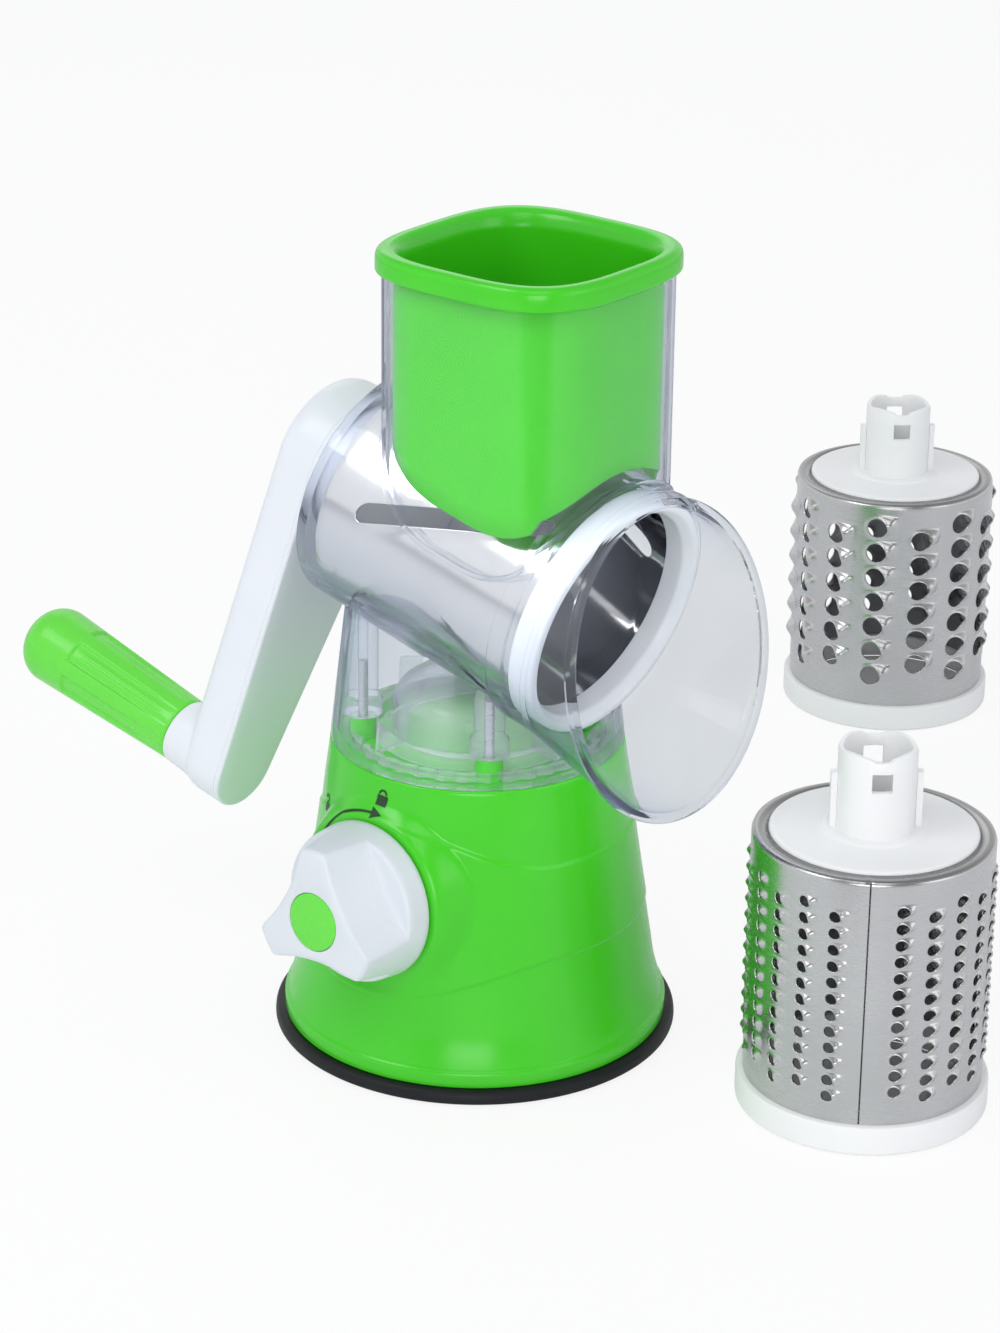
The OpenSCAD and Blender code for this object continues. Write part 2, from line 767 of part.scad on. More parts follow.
// Pusher: a deep cup with a broad rim, its foot cut to the curve of the drum
module pusher() color(green) difference() {
    half = chute_in - pusher_gap;
    rim_z = chute_top_z + seat_gap;
    foot_r = drum_r + pusher_clear;
    union() {
        chute_block(half, chute_start, rim_z + over);
        chute_block(pusher_rim_half, rim_z, rim_z + pusher_rim_h);
    }
    difference() {
        chute_block(half - pusher_wall, chute_start, rim_z + pusher_rim_h + over);
        on_barrel() {
            translate([0, 0, -2 * barrel_back]) {
                cylinder(r = foot_r + pusher_wall, h = 2 * (barrel_back + barrel_front));
            }
            translate([0, 0, collar_from - pusher_gap - pusher_wall]) {
                cylinder(r = barrel_front_r + pusher_gap + pusher_wall, h = barrel_front);
            }
        }
    }
    translate([0, -chute_forward, rim_z + pusher_rim_h - pusher_flare_h]) {
        linear_extrude(pusher_flare_h + over, scale = 1 + pusher_flare) polygon(bulged(half - pusher_wall));
    }
    on_barrel() translate([0, 0, -2 * barrel_back]) {
        cylinder(r = foot_r, h = 2 * (barrel_back + barrel_front));
    }
    on_barrel() translate([0, 0, collar_from - pusher_gap]) {
        cylinder(r = barrel_front_r + pusher_gap, h = barrel_front);
    }
}

// Drums, in the barrel's frame: the closed end at the back, the ring in front
sheet_front = drum_front - ring_h + ring_seat;
pattern_mid = (drum_front - ring_h - drum_back) / 2;

module sheet_blank() {
    translate([0, 0, -drum_back]) {
        tube(drum_r, drum_r - sheet, drum_back + sheet_front);
        tube(drum_r, rolled_r, sheet);
    }
}

module drum_ring() {
    difference() {
        translate([0, 0, drum_front - ring_h]) cylinder(r = ring_r, h = ring_h);
        translate([0, 0, drum_front - ring_h - over]) cylinder(r = drum_r + run, h = ring_seat + over);
        translate([0, 0, drum_front - ring_h]) cylinder(r = ring_inner_r, h = ring_h);
        translate([0, 0, drum_front - ring_seat]) {
            cylinder(r1 = ring_inner_r, r2 = ring_inner_r + ring_seat * 2 / 3, h = ring_seat + over);
        }
    }
}

module drum_hub() {
    plate = sheet - drum_back;
    difference() {
        union() {
            translate([0, 0, plate]) cylinder(r = drum_r - sheet - run, h = hub_plate_h);
            translate([0, 0, plate - sheet * wing_share]) cylinder(r = hub_disc_r, h = sheet);
            translate([0, 0, plate - stem_len]) cylinder(r = stem_r, h = stem_len + over);
            translate([-wing_r, -wing_w / 2, plate - stem_len]) {
                cube([2 * wing_r, wing_w, stem_len * wing_share]);
            }
        }
        translate([0, 0, plate - stem_len - over]) cylinder(r = stem_r - stem_wall, h = stem_len + over);
        translate([-window_w / 2, -wing_r, plate - stem_len * window_share - window_w / 2]) {
            cube([window_w, 2 * wing_r, window_w]);
        }
        translate([-notch_w / 2, -wing_r, plate - stem_len - over]) {
            cube([notch_w, 2 * wing_r, notch_h + over]);
        }
        translate([0, 0, plate - over]) cylinder(r = hub_web_hole_r, h = hub_plate_h + 2 * over);
    }
}

module slots() {
    reach = (slot_len - slot_w) / 2;
    for (i = [0 : slot_count - 1]) rotate([0, 0, slot_turn + 360 * i / slot_count]) {
        translate([drum_r * 3 / 4, 0, slot_mid]) rotate([slot_slant, 0, 0]) rotate([0, 90, 0]) {
            linear_extrude(drum_r / 2) {
                square([2 * reach, slot_w], center = true);
                for (e = [-reach, reach]) translate([e, 0]) circle(r = slot_w / 2, $fn = 32);
            }
        }
    }
}

// Round holes in columns. Neighbouring columns differ by half a pitch: where 'fewer' is 1, the
// odd ones have one hole fewer, and otherwise each is moved a quarter of a pitch either way
module hole_columns(count, from, rows, fewer, pitch, hole_r, shift, turn) {
    for (c = [from : count - 1]) {
        odd = c % 2;
        holes = rows - odd * fewer;
        lift = (1 - fewer) * (2 * odd - 1) * pitch / 4;
        rotate([0, 0, turn + 360 * c / count]) for (k = [0 : holes - 1]) {
            translate([drum_r - 3 * sheet, 0, pattern_mid + shift + lift + pitch * (k - (holes - 1) / 2)]) {
                rotate([0, 90, 0]) cylinder(r = hole_r, h = 6 * sheet, $fn = 24);
            }
        }
    }
}

module slicing_drum_sheet() color(steel) on_barrel() difference() {
    sheet_blank();
    slots();
}

module slicing_drum_ring() color(pale) on_barrel() drum_ring();

module slicing_drum_hub() color(pale) on_barrel() rotate([0, 0, -crank_lean]) drum_hub();

module coarse_drum_sheet() color(steel) standing(coarse_x, coarse_y) difference() {
    sheet_blank();
    hole_columns(coarse_columns, 0, coarse_rows, 1, coarse_pitch, coarse_hole_r, coarse_shift, coarse_turn);
}

module coarse_drum_ring() color(pale) standing(coarse_x, coarse_y) drum_ring();

module coarse_drum_hub() color(pale) standing(coarse_x, coarse_y) rotate([0, 0, spare_hub_turn]) drum_hub();

module fine_drum_sheet() color(steel) standing(fine_x, fine_y) difference() {
    sheet_blank();
    hole_columns(fine_columns, 1, fine_rows, 0, fine_pitch, fine_hole_r, fine_shift, fine_turn);
}

module fine_drum_ring() color(pale) standing(fine_x, fine_y) drum_ring();

module fine_drum_hub() color(pale) standing(fine_x, fine_y) rotate([0, 0, spare_hub_turn]) drum_hub();

// Crank: outline of two round ends and their outer tangents, as one polygon
module arm_outline(inset) {
    r1 = arm_hub_r - inset;
    r2 = arm_end_r - inset;
    lean = asin((r1 - r2) / crank_reach);
    polygon(concat(
        [for (i = [0 : 60]) let (a = -lean + (180 + 2 * lean) * i / 60) [r1 * cos(a), r1 * sin(a)]],
        [for (i = [0 : 36]) let (a = 180 + lean + (180 - 2 * lean) * i / 36)
            [r2 * cos(a), r2 * sin(a) - crank_reach]]
    ));
}

module arm_slice(inset, from, h) {
    translate([0, 0, from]) linear_extrude(h) arm_outline(inset);
}

module crank_arm() color(pale) on_crank() difference() {
    union() {
        difference() {
            union() {
                arm_slice(0, round_from - arm_back, arm_h - cover_h - round_from);
                hull() {
                    arm_slice(0, round_from - arm_back, slack);
                    arm_slice(arm_round, -arm_back, slack);
                }
            }
            arm_slice(arm_wall + arm_round / 2, -arm_floor, arm_h);
        }
        translate([0, 0, -arm_floor - over]) cylinder(r = sleeve_r, h = arm_floor + over - sleeve_front);
        translate([0, -crank_reach, -arm_back - stub_len]) {
            cylinder(r1 = stub_tip_r, r2 = arm_end_r - arm_round, h = stub_len + over);
        }
        translate([0, -crank_reach, -arm_back]) {
            cylinder(r = axle_spigot_r + arm_wall, h = round_from);
        }
    }
    translate([0, 0, -arm_floor]) cylinder(r = sleeve_in_r, h = arm_h + barrel_back);
    translate([-keyway_r, -keyway_w / 2, -arm_floor]) cube([2 * keyway_r, keyway_w, arm_h + barrel_back]);
    translate([0, 0, -arm_back - over]) cylinder(r = plug_screw_r + slack, h = arm_wall + 2 * over);
    translate([0, 0, -arm_back - over]) {
        cylinder(r = plug_screw_head_r + slack, h = over + plug_screw_head_h / 2);
    }
    translate([0, -crank_reach, -arm_back - stub_len - over]) {
        cylinder(r = axle_spigot_r + run, h = stub_len + over);
    }
    translate([0, -crank_reach, -arm_back - over]) cylinder(r = axle_hole_r + slack, h = arm_h);
}

module crank_arm_cover() color(pale) on_crank() difference() {
    arm_slice(0, -arm_face - cover_h, cover_h);
    translate([0, 0, -arm_face - cover_h - over]) cylinder(r = sleeve_r + slack, h = cover_h + 2 * over);
}

// Plug inside the drum's stem, held by a screw from the back of the arm
module drive_plug() color(pale) on_crank() translate([0, 0, -arm_floor]) difference() {
    cylinder(r = plug_r, h = plug_len);
    translate([0, 0, -over]) cylinder(r = plug_screw_r, h = plug_screw_len);
}

module drive_plug_screw() color(steel) on_crank() {
    translate([0, 0, -arm_back - plug_screw_head_h / 2]) {
        screw(plug_screw_r - run, plug_screw_len - over, plug_screw_head_r, plug_screw_head_h);
    }
}

module crank_grip() color(green) on_grip() difference() {
    body = grip_len - grip_nose_share * grip_end_r;
    union() {
        cylinder(r1 = grip_root_r, r2 = grip_end_r, h = body);
        translate([0, 0, body]) intersection() {
            sphere(r = grip_end_r);
            cylinder(r = grip_end_r, h = grip_nose_share * grip_end_r);
        }
    }
    translate([0, 0, -over]) cylinder(r = grip_bore_r, h = grip_len * axle_share + 2 * over);
    translate([0, 0, grip_len * axle_share - 2 * axle_snap_h]) {
        cylinder(r = axle_snap_r + slack, h = 2 * axle_snap_h + slack);
    }
    for (i = [0 : grip_panels - 1]) rotate([0, 0, 360 * i / grip_panels]) {
        translate([grip_root_r - grip_panel_depth, 0, grip_panel_to]) {
            rotate([0, atan((grip_end_r - grip_root_r) / body), 0]) {
                translate([0, -grip_panel_w / 2, 0]) {
                    cube([grip_end_r, grip_panel_w, body - grip_panel_from - grip_panel_to]);
                }
            }
        }
    }
}

module grip_axle() color(pale) on_grip() difference() {
    union() {
        translate([0, 0, -seat_gap]) cylinder(r = axle_r, h = grip_len * axle_share);
        translate([0, 0, -seat_gap - stub_len + slack]) cylinder(r = axle_spigot_r, h = stub_len);
        translate([0, 0, grip_len * axle_share - 2 * axle_snap_h + slack]) {
            cylinder(r = axle_snap_r, h = axle_snap_h);
        }
    }
    translate([0, 0, -grip_start]) cylinder(r = axle_hole_r, h = grip_start + stub_len);
}

module grip_axle_screw() color(steel) on_crank() {
    translate([0, -crank_reach, round_from - arm_back + screw_head_h]) rotate([180, 0, 0]) {
        screw(axle_hole_r - run, stub_len + round_from + over, screw_head_r - slack, screw_head_h);
    }
}

suction_cup();
base_shell();
lift_stem();
lift_spring();
cam_shaft();
knob();
knob_cap();
knob_screw();
lock_marks();
clear_housing();
housing_screws();
rear_bush();
pusher();
slicing_drum_sheet();
slicing_drum_ring();
slicing_drum_hub();
crank_arm();
crank_arm_cover();
drive_plug();
drive_plug_screw();
crank_grip();
grip_axle();
grip_axle_screw();
coarse_drum_sheet();
coarse_drum_ring();
coarse_drum_hub();
fine_drum_sheet();
fine_drum_ring();
fine_drum_hub();
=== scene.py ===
# %% [markdown]
# # A hand-cranked drum shredder
# The real object is a suction base, a clear barrel with a feed chute, a steel drum on a crank
# and two spare drums. Each cell explains one piece or one finish, then makes it. The CAD model
# is the fixed frame: a piece made here stands where the CAD says, and rides on a CAD body.

# %% Load the frame
import math

import bmesh
import bpy
import numpy as np
from mathutils import Matrix, Vector


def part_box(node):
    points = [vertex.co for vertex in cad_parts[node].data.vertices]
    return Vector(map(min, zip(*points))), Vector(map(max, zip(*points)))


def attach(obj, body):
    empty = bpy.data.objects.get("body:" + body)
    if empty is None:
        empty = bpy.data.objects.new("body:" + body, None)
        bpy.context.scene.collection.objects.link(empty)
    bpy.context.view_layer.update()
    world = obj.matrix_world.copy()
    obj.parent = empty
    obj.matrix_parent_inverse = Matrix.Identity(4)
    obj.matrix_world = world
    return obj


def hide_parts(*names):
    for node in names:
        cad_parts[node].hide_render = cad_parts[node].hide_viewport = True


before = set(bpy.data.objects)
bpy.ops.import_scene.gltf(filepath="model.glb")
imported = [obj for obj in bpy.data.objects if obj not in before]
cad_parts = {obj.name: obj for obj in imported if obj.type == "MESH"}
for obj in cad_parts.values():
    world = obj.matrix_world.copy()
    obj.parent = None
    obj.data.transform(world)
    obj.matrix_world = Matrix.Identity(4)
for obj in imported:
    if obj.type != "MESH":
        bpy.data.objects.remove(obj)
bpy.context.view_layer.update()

print("frame:", len(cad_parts), "nodes")

# %% [markdown]
# The camera comes first, because every later choice is judged through it. The photograph was
# taken from the knob's side, a little above, with a long lens. A camera can be turned with
# angles, but a matrix built from its own right, up and back directions leaves no doubt.

# %% Camera
MM = 0.001
LOOK = (38.93, -22.1, 0.62)  # heading north of east, pitch and roll in degrees
EYE = (-872.5, -710.7, 595.4)  # millimetres
PHOTO_W, PHOTO_H = 1000, 1333
FOCAL, CENTRE_X, CENTRE_Y = 3727.3, 492.55, 631.48  # in the photograph's pixels
FILM = 36


def camera_axes(heading, pitch, roll):
    """Right, up and forward of a camera: the heading turns it about Z, then pitch, then roll."""
    h, p, r = (math.radians(v) for v in (heading, pitch, roll))
    forward = np.array([math.cos(p) * math.cos(h), math.cos(p) * math.sin(h), math.sin(p)])
    right = np.array([math.sin(h), -math.cos(h), 0.0])
    up = np.cross(right, forward)
    return right * math.cos(r) + up * math.sin(r), up * math.cos(r) - right * math.sin(r), forward


right, up, forward = camera_axes(*LOOK)
eye = np.array(EYE) * MM
lens = bpy.data.cameras.new("camera")
lens.sensor_width = FILM
lens.lens = FOCAL * FILM / PHOTO_H
lens.shift_x = (PHOTO_W / 2 - CENTRE_X) / PHOTO_H
lens.shift_y = (CENTRE_Y - PHOTO_H / 2) / PHOTO_H
lens.clip_end = 20
camera = bpy.data.objects.new("camera", lens)
camera.matrix_world = Matrix(
    [[right[i], up[i], -forward[i], eye[i]] for i in range(3)] + [[0, 0, 0, 1]]
)
bpy.context.scene.collection.objects.link(camera)
bpy.context.scene.camera = camera
bpy.context.scene.view_settings.view_transform = "Standard"
print("camera at", np.round(eye, 3), "lens", round(lens.lens, 1))

# %% [markdown]
# Every new piece is a grid of points: a function of two numbers, worked out as one numpy array.
# These helpers turn a grid into a mesh. Points that fall together, such as the row at a pole,
# are merged, and the faces are then turned to point outwards. Edges sharper than a given angle
# stay crisp, so a moulded rim keeps its line and a barrel stays smooth.


# %% From grids of points to meshes
def grid_faces(rows, cols, first=0, close_rows=False, close_cols=True):
    """Quads between neighbouring rows and columns; a closed way joins its last to its first."""
    i = np.arange(rows if close_rows else rows - 1)[:, None]
    j = np.arange(cols if close_cols else cols - 1)[None, :]
    i2, j2 = (i + 1) % rows, (j + 1) % cols
    quads = np.stack([i * cols + j, i * cols + j2, i2 * cols + j2, i2 * cols + j], -1)
    return first + quads.reshape(-1, 4)


class Stock:
    """Collects grids and faces, then becomes one mesh object."""

    def __init__(self):
        self.points, self.faces, self.count = [], [], 0

    def add(self, grid, close_rows=False, close_cols=True):
        rows, cols = grid.shape[:2]
        self.faces.append(grid_faces(rows, cols, self.count, close_rows, close_cols))
        self.points.append(grid.reshape(-1, 3))
        self.count += rows * cols
        return self

    def object(self, name, finish, crisp=35.0, outward=True):
        points = np.concatenate(self.points) * MM
        faces = np.concatenate(self.faces).astype(np.int32)
        mesh = bpy.data.meshes.new(name)
        mesh.vertices.add(len(points))
        mesh.vertices.foreach_set("co", points.astype(np.float32).ravel())
        mesh.loops.add(faces.size)
        mesh.loops.foreach_set("vertex_index", faces.ravel())
        mesh.polygons.add(len(faces))
        mesh.polygons.foreach_set("loop_start", np.arange(0, faces.size, 4, dtype=np.int32))
        mesh.update(calc_edges=True)
        work = bmesh.new()
        work.from_mesh(mesh)
        bmesh.ops.remove_doubles(work, verts=work.verts, dist=2e-6)
        bmesh.ops.dissolve_degenerate(work, edges=work.edges, dist=1e-7)
        if outward:
            bmesh.ops.recalc_face_normals(work, faces=work.faces)
        work.to_mesh(mesh)
        work.free()
        thing = bpy.data.objects.new(name, mesh)
        bpy.context.scene.collection.objects.link(thing)
        return polish(thing, finish, crisp)


def polish(thing, finish, crisp):
    """Gives a mesh its finish, and smooth shading with crisp edges past an angle."""
    thing.data.materials.clear()
    if finish is not None:
        thing.data.materials.append(finish)
    thing.data.shade_smooth()
    thing.data.set_sharp_from_angle(angle=math.radians(crisp))
    return thing


def smoothstep(x, low, high):
    """0 below low, 1 above high, and a soft S between them."""
    t = np.clip((x - low) / (high - low), 0, 1)
    return t * t * (3 - 2 * t)


def rounded(corners, radii, steps=5, closed=True):
    """A polyline with each corner replaced by a small parabola that starts one radius before it."""
    p = np.asarray(corners, float)
    r = np.broadcast_to(np.asarray(radii, float), (len(p),))
    before, after = np.roll(p, 1, 0) - p, np.roll(p, -1, 0) - p
    la, lb = np.linalg.norm(before, axis=1), np.linalg.norm(after, axis=1)
    ta, tb = np.minimum(r, 0.48 * la), np.minimum(r, 0.48 * lb)
    if not closed:
        ta[[0, -1]] = tb[[0, -1]] = 0
    a = p + before * (ta / np.maximum(la, 1e-9))[:, None]
    b = p + after * (tb / np.maximum(lb, 1e-9))[:, None]
    u = np.linspace(0, 1, steps)[None, :, None]
    curve = (1 - u) ** 2 * a[:, None] + 2 * u * (1 - u) * p[:, None] + u * u * b[:, None]
    curve = curve.reshape(-1, 2)
    gap = np.linalg.norm(np.diff(curve, axis=0), axis=1)
    return curve[np.concatenate([[True], gap > 1e-4])]


def turns(steps):
    """Angles once round, in even steps."""
    return np.linspace(0, 2 * np.pi, steps, endpoint=False)


def around(r, a, z):
    """Points at a radius, an angle and a height, each of which may be a grid."""
    return np.stack(np.broadcast_arrays(r * np.cos(a), r * np.sin(a), z), -1)


def spin(profile, steps=128):
    """Turns a profile of (radius, height) about the Z axis, as on a lathe."""
    return around(profile[:, 0, None], turns(steps), profile[:, 1, None])


def at_height(outline, z):
    """A flat outline at a height, which is one number or one for each point."""
    return np.column_stack([outline, np.broadcast_to(z, (len(outline),))])


def dress(thing, body, slot, *nodes):
    """Rides a piece on its CAD body and hides the CAD nodes it stands for; the slot is not used."""
    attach(thing, body)
    if nodes:
        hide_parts(*nodes)
    print(thing.name, "on", body, "has", len(thing.data.polygons), "faces")


print("one square:", grid_faces(2, 2, close_cols=False).tolist())


# %% [markdown]
# The machine has four tilted workplaces: the barrel, which slopes down to its outlet, the crank
# on it, the knob on the side of the base, and the table. Each is an origin and three directions,
# so a piece is drawn upright and then placed by one matrix product.

# %% Workplaces
TILT, LEAN, RISE = math.radians(14.2), math.radians(14.7), math.radians(3.0)
BARREL_Z, BARREL_R, KNOB_Z, KNOB_SEAT = 171.5, 42.0, 59.7, 55.2


class Place:
    """A local frame: three directions as rows, and an origin in millimetres."""

    def __init__(self, x, y, z, origin):
        self.axes, self.origin = np.array([x, y, z], float), np.array(origin, float)

    def __call__(self, grid):
        return grid @ self.axes + self.origin

    def local(self, grid):
        return (grid - self.origin) @ self.axes.T

    def turned(self, angle, shift=(0, 0, 0)):
        c, s = math.cos(angle), math.sin(angle)
        x, y, z = self.axes
        return Place(c * x + s * y, c * y - s * x, z, self(np.array(shift, float)))


table = Place((1, 0, 0), (0, 1, 0), (0, 0, 1), (0, 0, 0))
barrel = Place(
    (1, 0, 0),
    (0, -math.sin(TILT), math.cos(TILT)),
    (0, -math.cos(TILT), -math.sin(TILT)),
    (0, 0, BARREL_Z),
)
crank = barrel.turned(-LEAN)
knob_place = Place(
    (math.sin(RISE), 0, math.cos(RISE)),
    (0, 1, 0),
    (-math.cos(RISE), 0, math.sin(RISE)),
    (0, 0, KNOB_Z),
)
print("barrel points", np.round(barrel.axes[2], 3))

# %% [markdown]
# Shader maths is easier to read as sums and products than as boxes and wires. A small class
# holds one socket and turns each operator into a Math node. A second one works on any node
# tree: its add method makes a node from its type, its settings and the values or wires of its
# sockets. A finish is such a tree with a Principled shader in it.


# %% Finishes: helpers
class Wire:
    """A socket that can be added, multiplied and compared in plain Python."""

    def __init__(self, wiring, socket):
        self.wiring, self.socket = wiring, socket

    def join(self, operation, a, b):
        return self.wiring.add("Math", {0: a, 1: b}, operation=operation)

    __add__ = __radd__ = lambda self, other: self.join("ADD", self, other)
    __mul__ = __rmul__ = lambda self, other: self.join("MULTIPLY", self, other)
    __sub__ = lambda self, other: self.join("SUBTRACT", self, other)
    __rsub__ = lambda self, other: self.join("SUBTRACT", other, self)
    __pow__ = lambda self, other: self.join("POWER", self, other)
    __gt__ = lambda self, other: self.join("GREATER_THAN", self, other)


class Wiring:
    """A node tree: one method adds any node and links or sets its sockets."""

    def __init__(self, tree):
        self.tree = tree

    def set(self, key, value, node):
        socket = node.inputs[key]
        if isinstance(value, Wire):
            self.tree.links.new(value.socket, socket)
        else:
            socket.default_value = value

    def add(self, kind, inputs=None, out=0, **settings):
        node = self.tree.nodes.new("ShaderNode" + kind)
        for key, value in settings.items():
            setattr(node, key, value)
        for key, value in (inputs or {}).items():
            self.set(key, value, node)
        return Wire(self, node.outputs[out])

    def vector(self, operation, a, b=(0, 0, 0), out="Value"):
        """One step on vectors; most steps used here give a number."""
        return self.add("VectorMath", {0: a, 1: b}, out, operation=operation)

    def mix(self, factor, first, second):
        """Lays a second shader over a first, as far as the factor says."""
        return self.add("MixShader", {0: factor, 1: first, 2: second})

    def ramp(self, factor, *stops):
        """Grey levels at places along a factor, joined by straight lines."""
        wire = self.add("ValToRGB", {0: factor})
        line = wire.socket.node.color_ramp
        while len(line.elements) < len(stops):
            line.elements.new(0.5)
        for stop, (at, grey) in zip(line.elements, stops):
            stop.position, stop.color = at, (grey, grey, grey, 1)
        return wire


class Finish(Wiring):
    """A material with one Principled shader, read from Object coordinates."""

    def __init__(self, name, colour, rough, **sockets):
        self.material = bpy.data.materials.new(name)
        self.material.use_nodes = True
        super().__init__(self.material.node_tree)
        self.tree.nodes.clear()
        self.out = self.tree.nodes.new("ShaderNodeOutputMaterial")
        self.shader = self.tree.nodes.new("ShaderNodeBsdfPrincipled")
        self.base = Wire(self, self.shader.outputs[0])
        self.surface(self.base)
        self.place = self.add("TexCoord", out="Object")
        self.set("Base Color", (*colour, 1))
        self.set("Roughness", rough)
        for key, value in sockets.items():
            self.set(key.replace("_", " "), value)

    def set(self, key, value, node=None):
        super().set(key, value, node or self.shader)

    def noise(self, scale, detail=3.0, stretch=None):
        where = self.place
        if stretch is not None:
            where = self.add("Mapping", {"Vector": where, "Scale": stretch})
        where = {"Vector": where, "Scale": scale, "Detail": detail, "Roughness": 0.55}
        return self.add("TexNoise", where)

    def blend(self, factor, first, second):
        """Mixes two colours, each a triple or a wire."""
        pair = [c if isinstance(c, Wire) else (*c, 1) for c in (first, second)]
        return self.add("Mix", {0: factor, 6: pair[0], 7: pair[1]}, 2, data_type="RGBA")

    def bump(self, height, depth):
        self.set("Normal", self.add("Bump", {"Height": height, "Distance": depth}))

    def surface(self, wire):
        self.tree.links.new(wire.socket, self.out.inputs["Surface"])


print("helpers for finishes ready")

# %% [markdown]
# Most of the body is moulded ABS. Close up such plastic isn't one colour: the melt leaves soft
# clouds a few centimetres wide, the gloss varies where hands have been, and the surface has
# faint ripples. Three noises at three scales give that, all read from Object coordinates.


# %% Moulded plastics
def moulded(name, colour, deeper, rough, **sockets):
    """Colour clouds at 3 cm, gloss clouds at 1 cm, and ripples a few microns deep."""
    f = Finish(name, colour, rough, **sockets)
    clouds = f.noise(28.0, 2.0)
    gloss = f.noise(95.0, 4.0)
    f.set("Base Color", f.blend(clouds, deeper, colour))
    f.set("Roughness", gloss * 0.08 + (rough - 0.04))
    f.bump(f.noise(300.0, 1.0) * 0.1 + f.noise(45.0, 1.0), 0.000004)
    return f.material


green = moulded("green_plastic", (0.062, 0.64, 0.016), (0.05, 0.575, 0.011), 0.22)
pale = moulded("pale_plastic", (0.83, 0.855, 0.90), (0.79, 0.82, 0.87), 0.30)
lime = moulded("lime_plastic", (0.15, 0.77, 0.065), (0.125, 0.71, 0.05), 0.27)
white = moulded("white_plastic", (0.91, 0.91, 0.91), (0.87, 0.87, 0.875), 0.38)
# The knob takes a darker copy of the pale plastic: painted shade that tones the whole knob down.
knob_pale_painted_shade = moulded("knob_plastic_painted_shade", (0.75, 0.785, 0.83), (0.69, 0.73, 0.78), 0.30)
print("plastics ready")

# %% [markdown]
# The clear housing is thick polystyrene. Real refraction in so many close walls turns their
# edges black, while the photograph shows them smoke-blue, so this plastic hardly bends light.
# Its colour is nearly white where the wall is seen square on and a smoky blue where it is seen
# at a low angle, and a coat on top gives the gloss. Rays that ask about shadow pass through.
# The posts inside the pedestal are cloudier, because they are thick and full of small ribs.


# %% Clear plastic
def clear_plastic(name, cloud):
    """Transmission with an index near 1; the tint follows the angle, the coat gives the gloss."""
    f = Finish(name, (0.92, 0.935, 0.955), 0.0, IOR=1.06, Transmission_Weight=1.0)
    f.set("Coat Weight", 0.7)
    f.set("Coat Roughness", 0.03)
    f.set("Coat IOR", 1.36)
    facing = f.add("LayerWeight", {"Blend": 0.5}, out="Facing")
    haze = f.blend(f.noise(120.0, 3.0), (0.905, 0.922, 0.945), (0.93, 0.943, 0.96))
    f.set("Base Color", f.blend(facing**2.0, haze, (0.6, 0.64, 0.78)))
    f.bump(f.noise(45.0, 1.0), 0.00002)
    through = f.add("BsdfTransparent", {"Color": (0.95, 0.96, 0.975, 1)})
    milk = f.add("BsdfDiffuse", {"Color": (0.92, 0.94, 0.96, 1)})
    body = f.mix(cloud, f.base, milk)
    smoke = f.add("BsdfDiffuse", {"Color": (0.22, 0.25, 0.43, 1)})
    body = f.mix(facing**5.0 * 0.45, body, smoke)
    f.surface(f.mix(f.add("LightPath", out="Is Shadow Ray"), body, through))
    return f.material


clear, cloudy = clear_plastic("clear_plastic", 0.01), clear_plastic("clear_posts", 0.11)
print("clear plastics:", clear.name, cloudy.name)

# %% [markdown]
# The drums are rolled stainless sheet. Rolling leaves very fine lines and the polish leaves
# broad soft patches, so one noise is stretched along the drum's girth and one is not. The inside
# of a drum gets painted shade: a grey set for its back and one for its mouth, blended between
# them. A point is inside when it is nearer to the drum's axis than the sheet's middle, so each
# drum's finish first turns the point into that drum's own frame.


# %% Metals, rubber and print
SKIN_END, LIP_START = -36.1, -36.2  # along a drum, where the painted inside shade ends and the lip begins


def rolled_steel(name, light, rough, place=None, inside=(0.2, 0.2)):
    """Metal with streaks and faint patches; inside a drum, a painted shade greys from its back to its
    mouth.
    """
    f = Finish(name, (light, light, light * 1.02), rough, Metallic=1.0)
    if place is not None:
        turn = Matrix(place.axes.tolist()).transposed().to_euler()
        here = {"Vector": f.place, "Location": place.origin * MM, "Rotation": turn}
        f.place = f.add("Mapping", here, vector_type="TEXTURE")
    streaks = f.noise(1.0, 4.0, (60.0, 60.0, 1500.0))
    patches = f.noise(30.0, 2.0)
    dull, bright = ([light * k, light * k, light * (k + b)] for k, b in ((0.92, 0.02), (1.06, 0.01)))
    skin = f.blend(patches, dull, bright)
    gloss = streaks * 0.12 + patches * 0.08 + (rough - 0.1)
    if place is not None:
        length = f.vector("LENGTH", f.vector("MULTIPLY", f.place, (1, 1, 0), out=0))
        along = f.add("SeparateXYZ", {0: f.place}, "Z")
        # Painted shade inside the sheet: the back's grey near the closed end, blending to the mouth's
        # grey towards the open end.
        deep = (SHEET_MIDDLE * MM - length > 0.0) * (along > SKIN_END * MM)
        rim = LIP_START * MM - along > 0.0
        skin = f.blend(rim, skin, f.blend(patches, (0.33, 0.33, 0.335), (0.42, 0.42, 0.425)))
        back, mouth = ((grey, grey, grey * 1.05) for grey in inside)
        depth = f.ramp(along * 20 + 0.4, (0.1, 0.0), (0.9, 1.0))
        skin = f.blend(deep, skin, f.blend(depth, back, mouth))
        gloss = gloss - deep * 0.06
    f.set("Base Color", skin)
    f.set("Roughness", gloss)
    f.bump(streaks, 0.000005)
    return f.material


def rubbery():
    """Black rubber: a fine even grain and faint dusty clouds."""
    f = Finish("black_rubber", (0.01, 0.01, 0.013), 0.5)
    f.set("Specular IOR Level", 0.3)
    dust = f.noise(70.0, 5.0)
    f.set("Base Color", f.blend(dust, (0.004, 0.004, 0.006), (0.012, 0.012, 0.016)))
    f.set("Roughness", dust * 0.25 + 0.35)
    f.bump(f.noise(1400.0, 2.0), 0.00004)
    return f.material


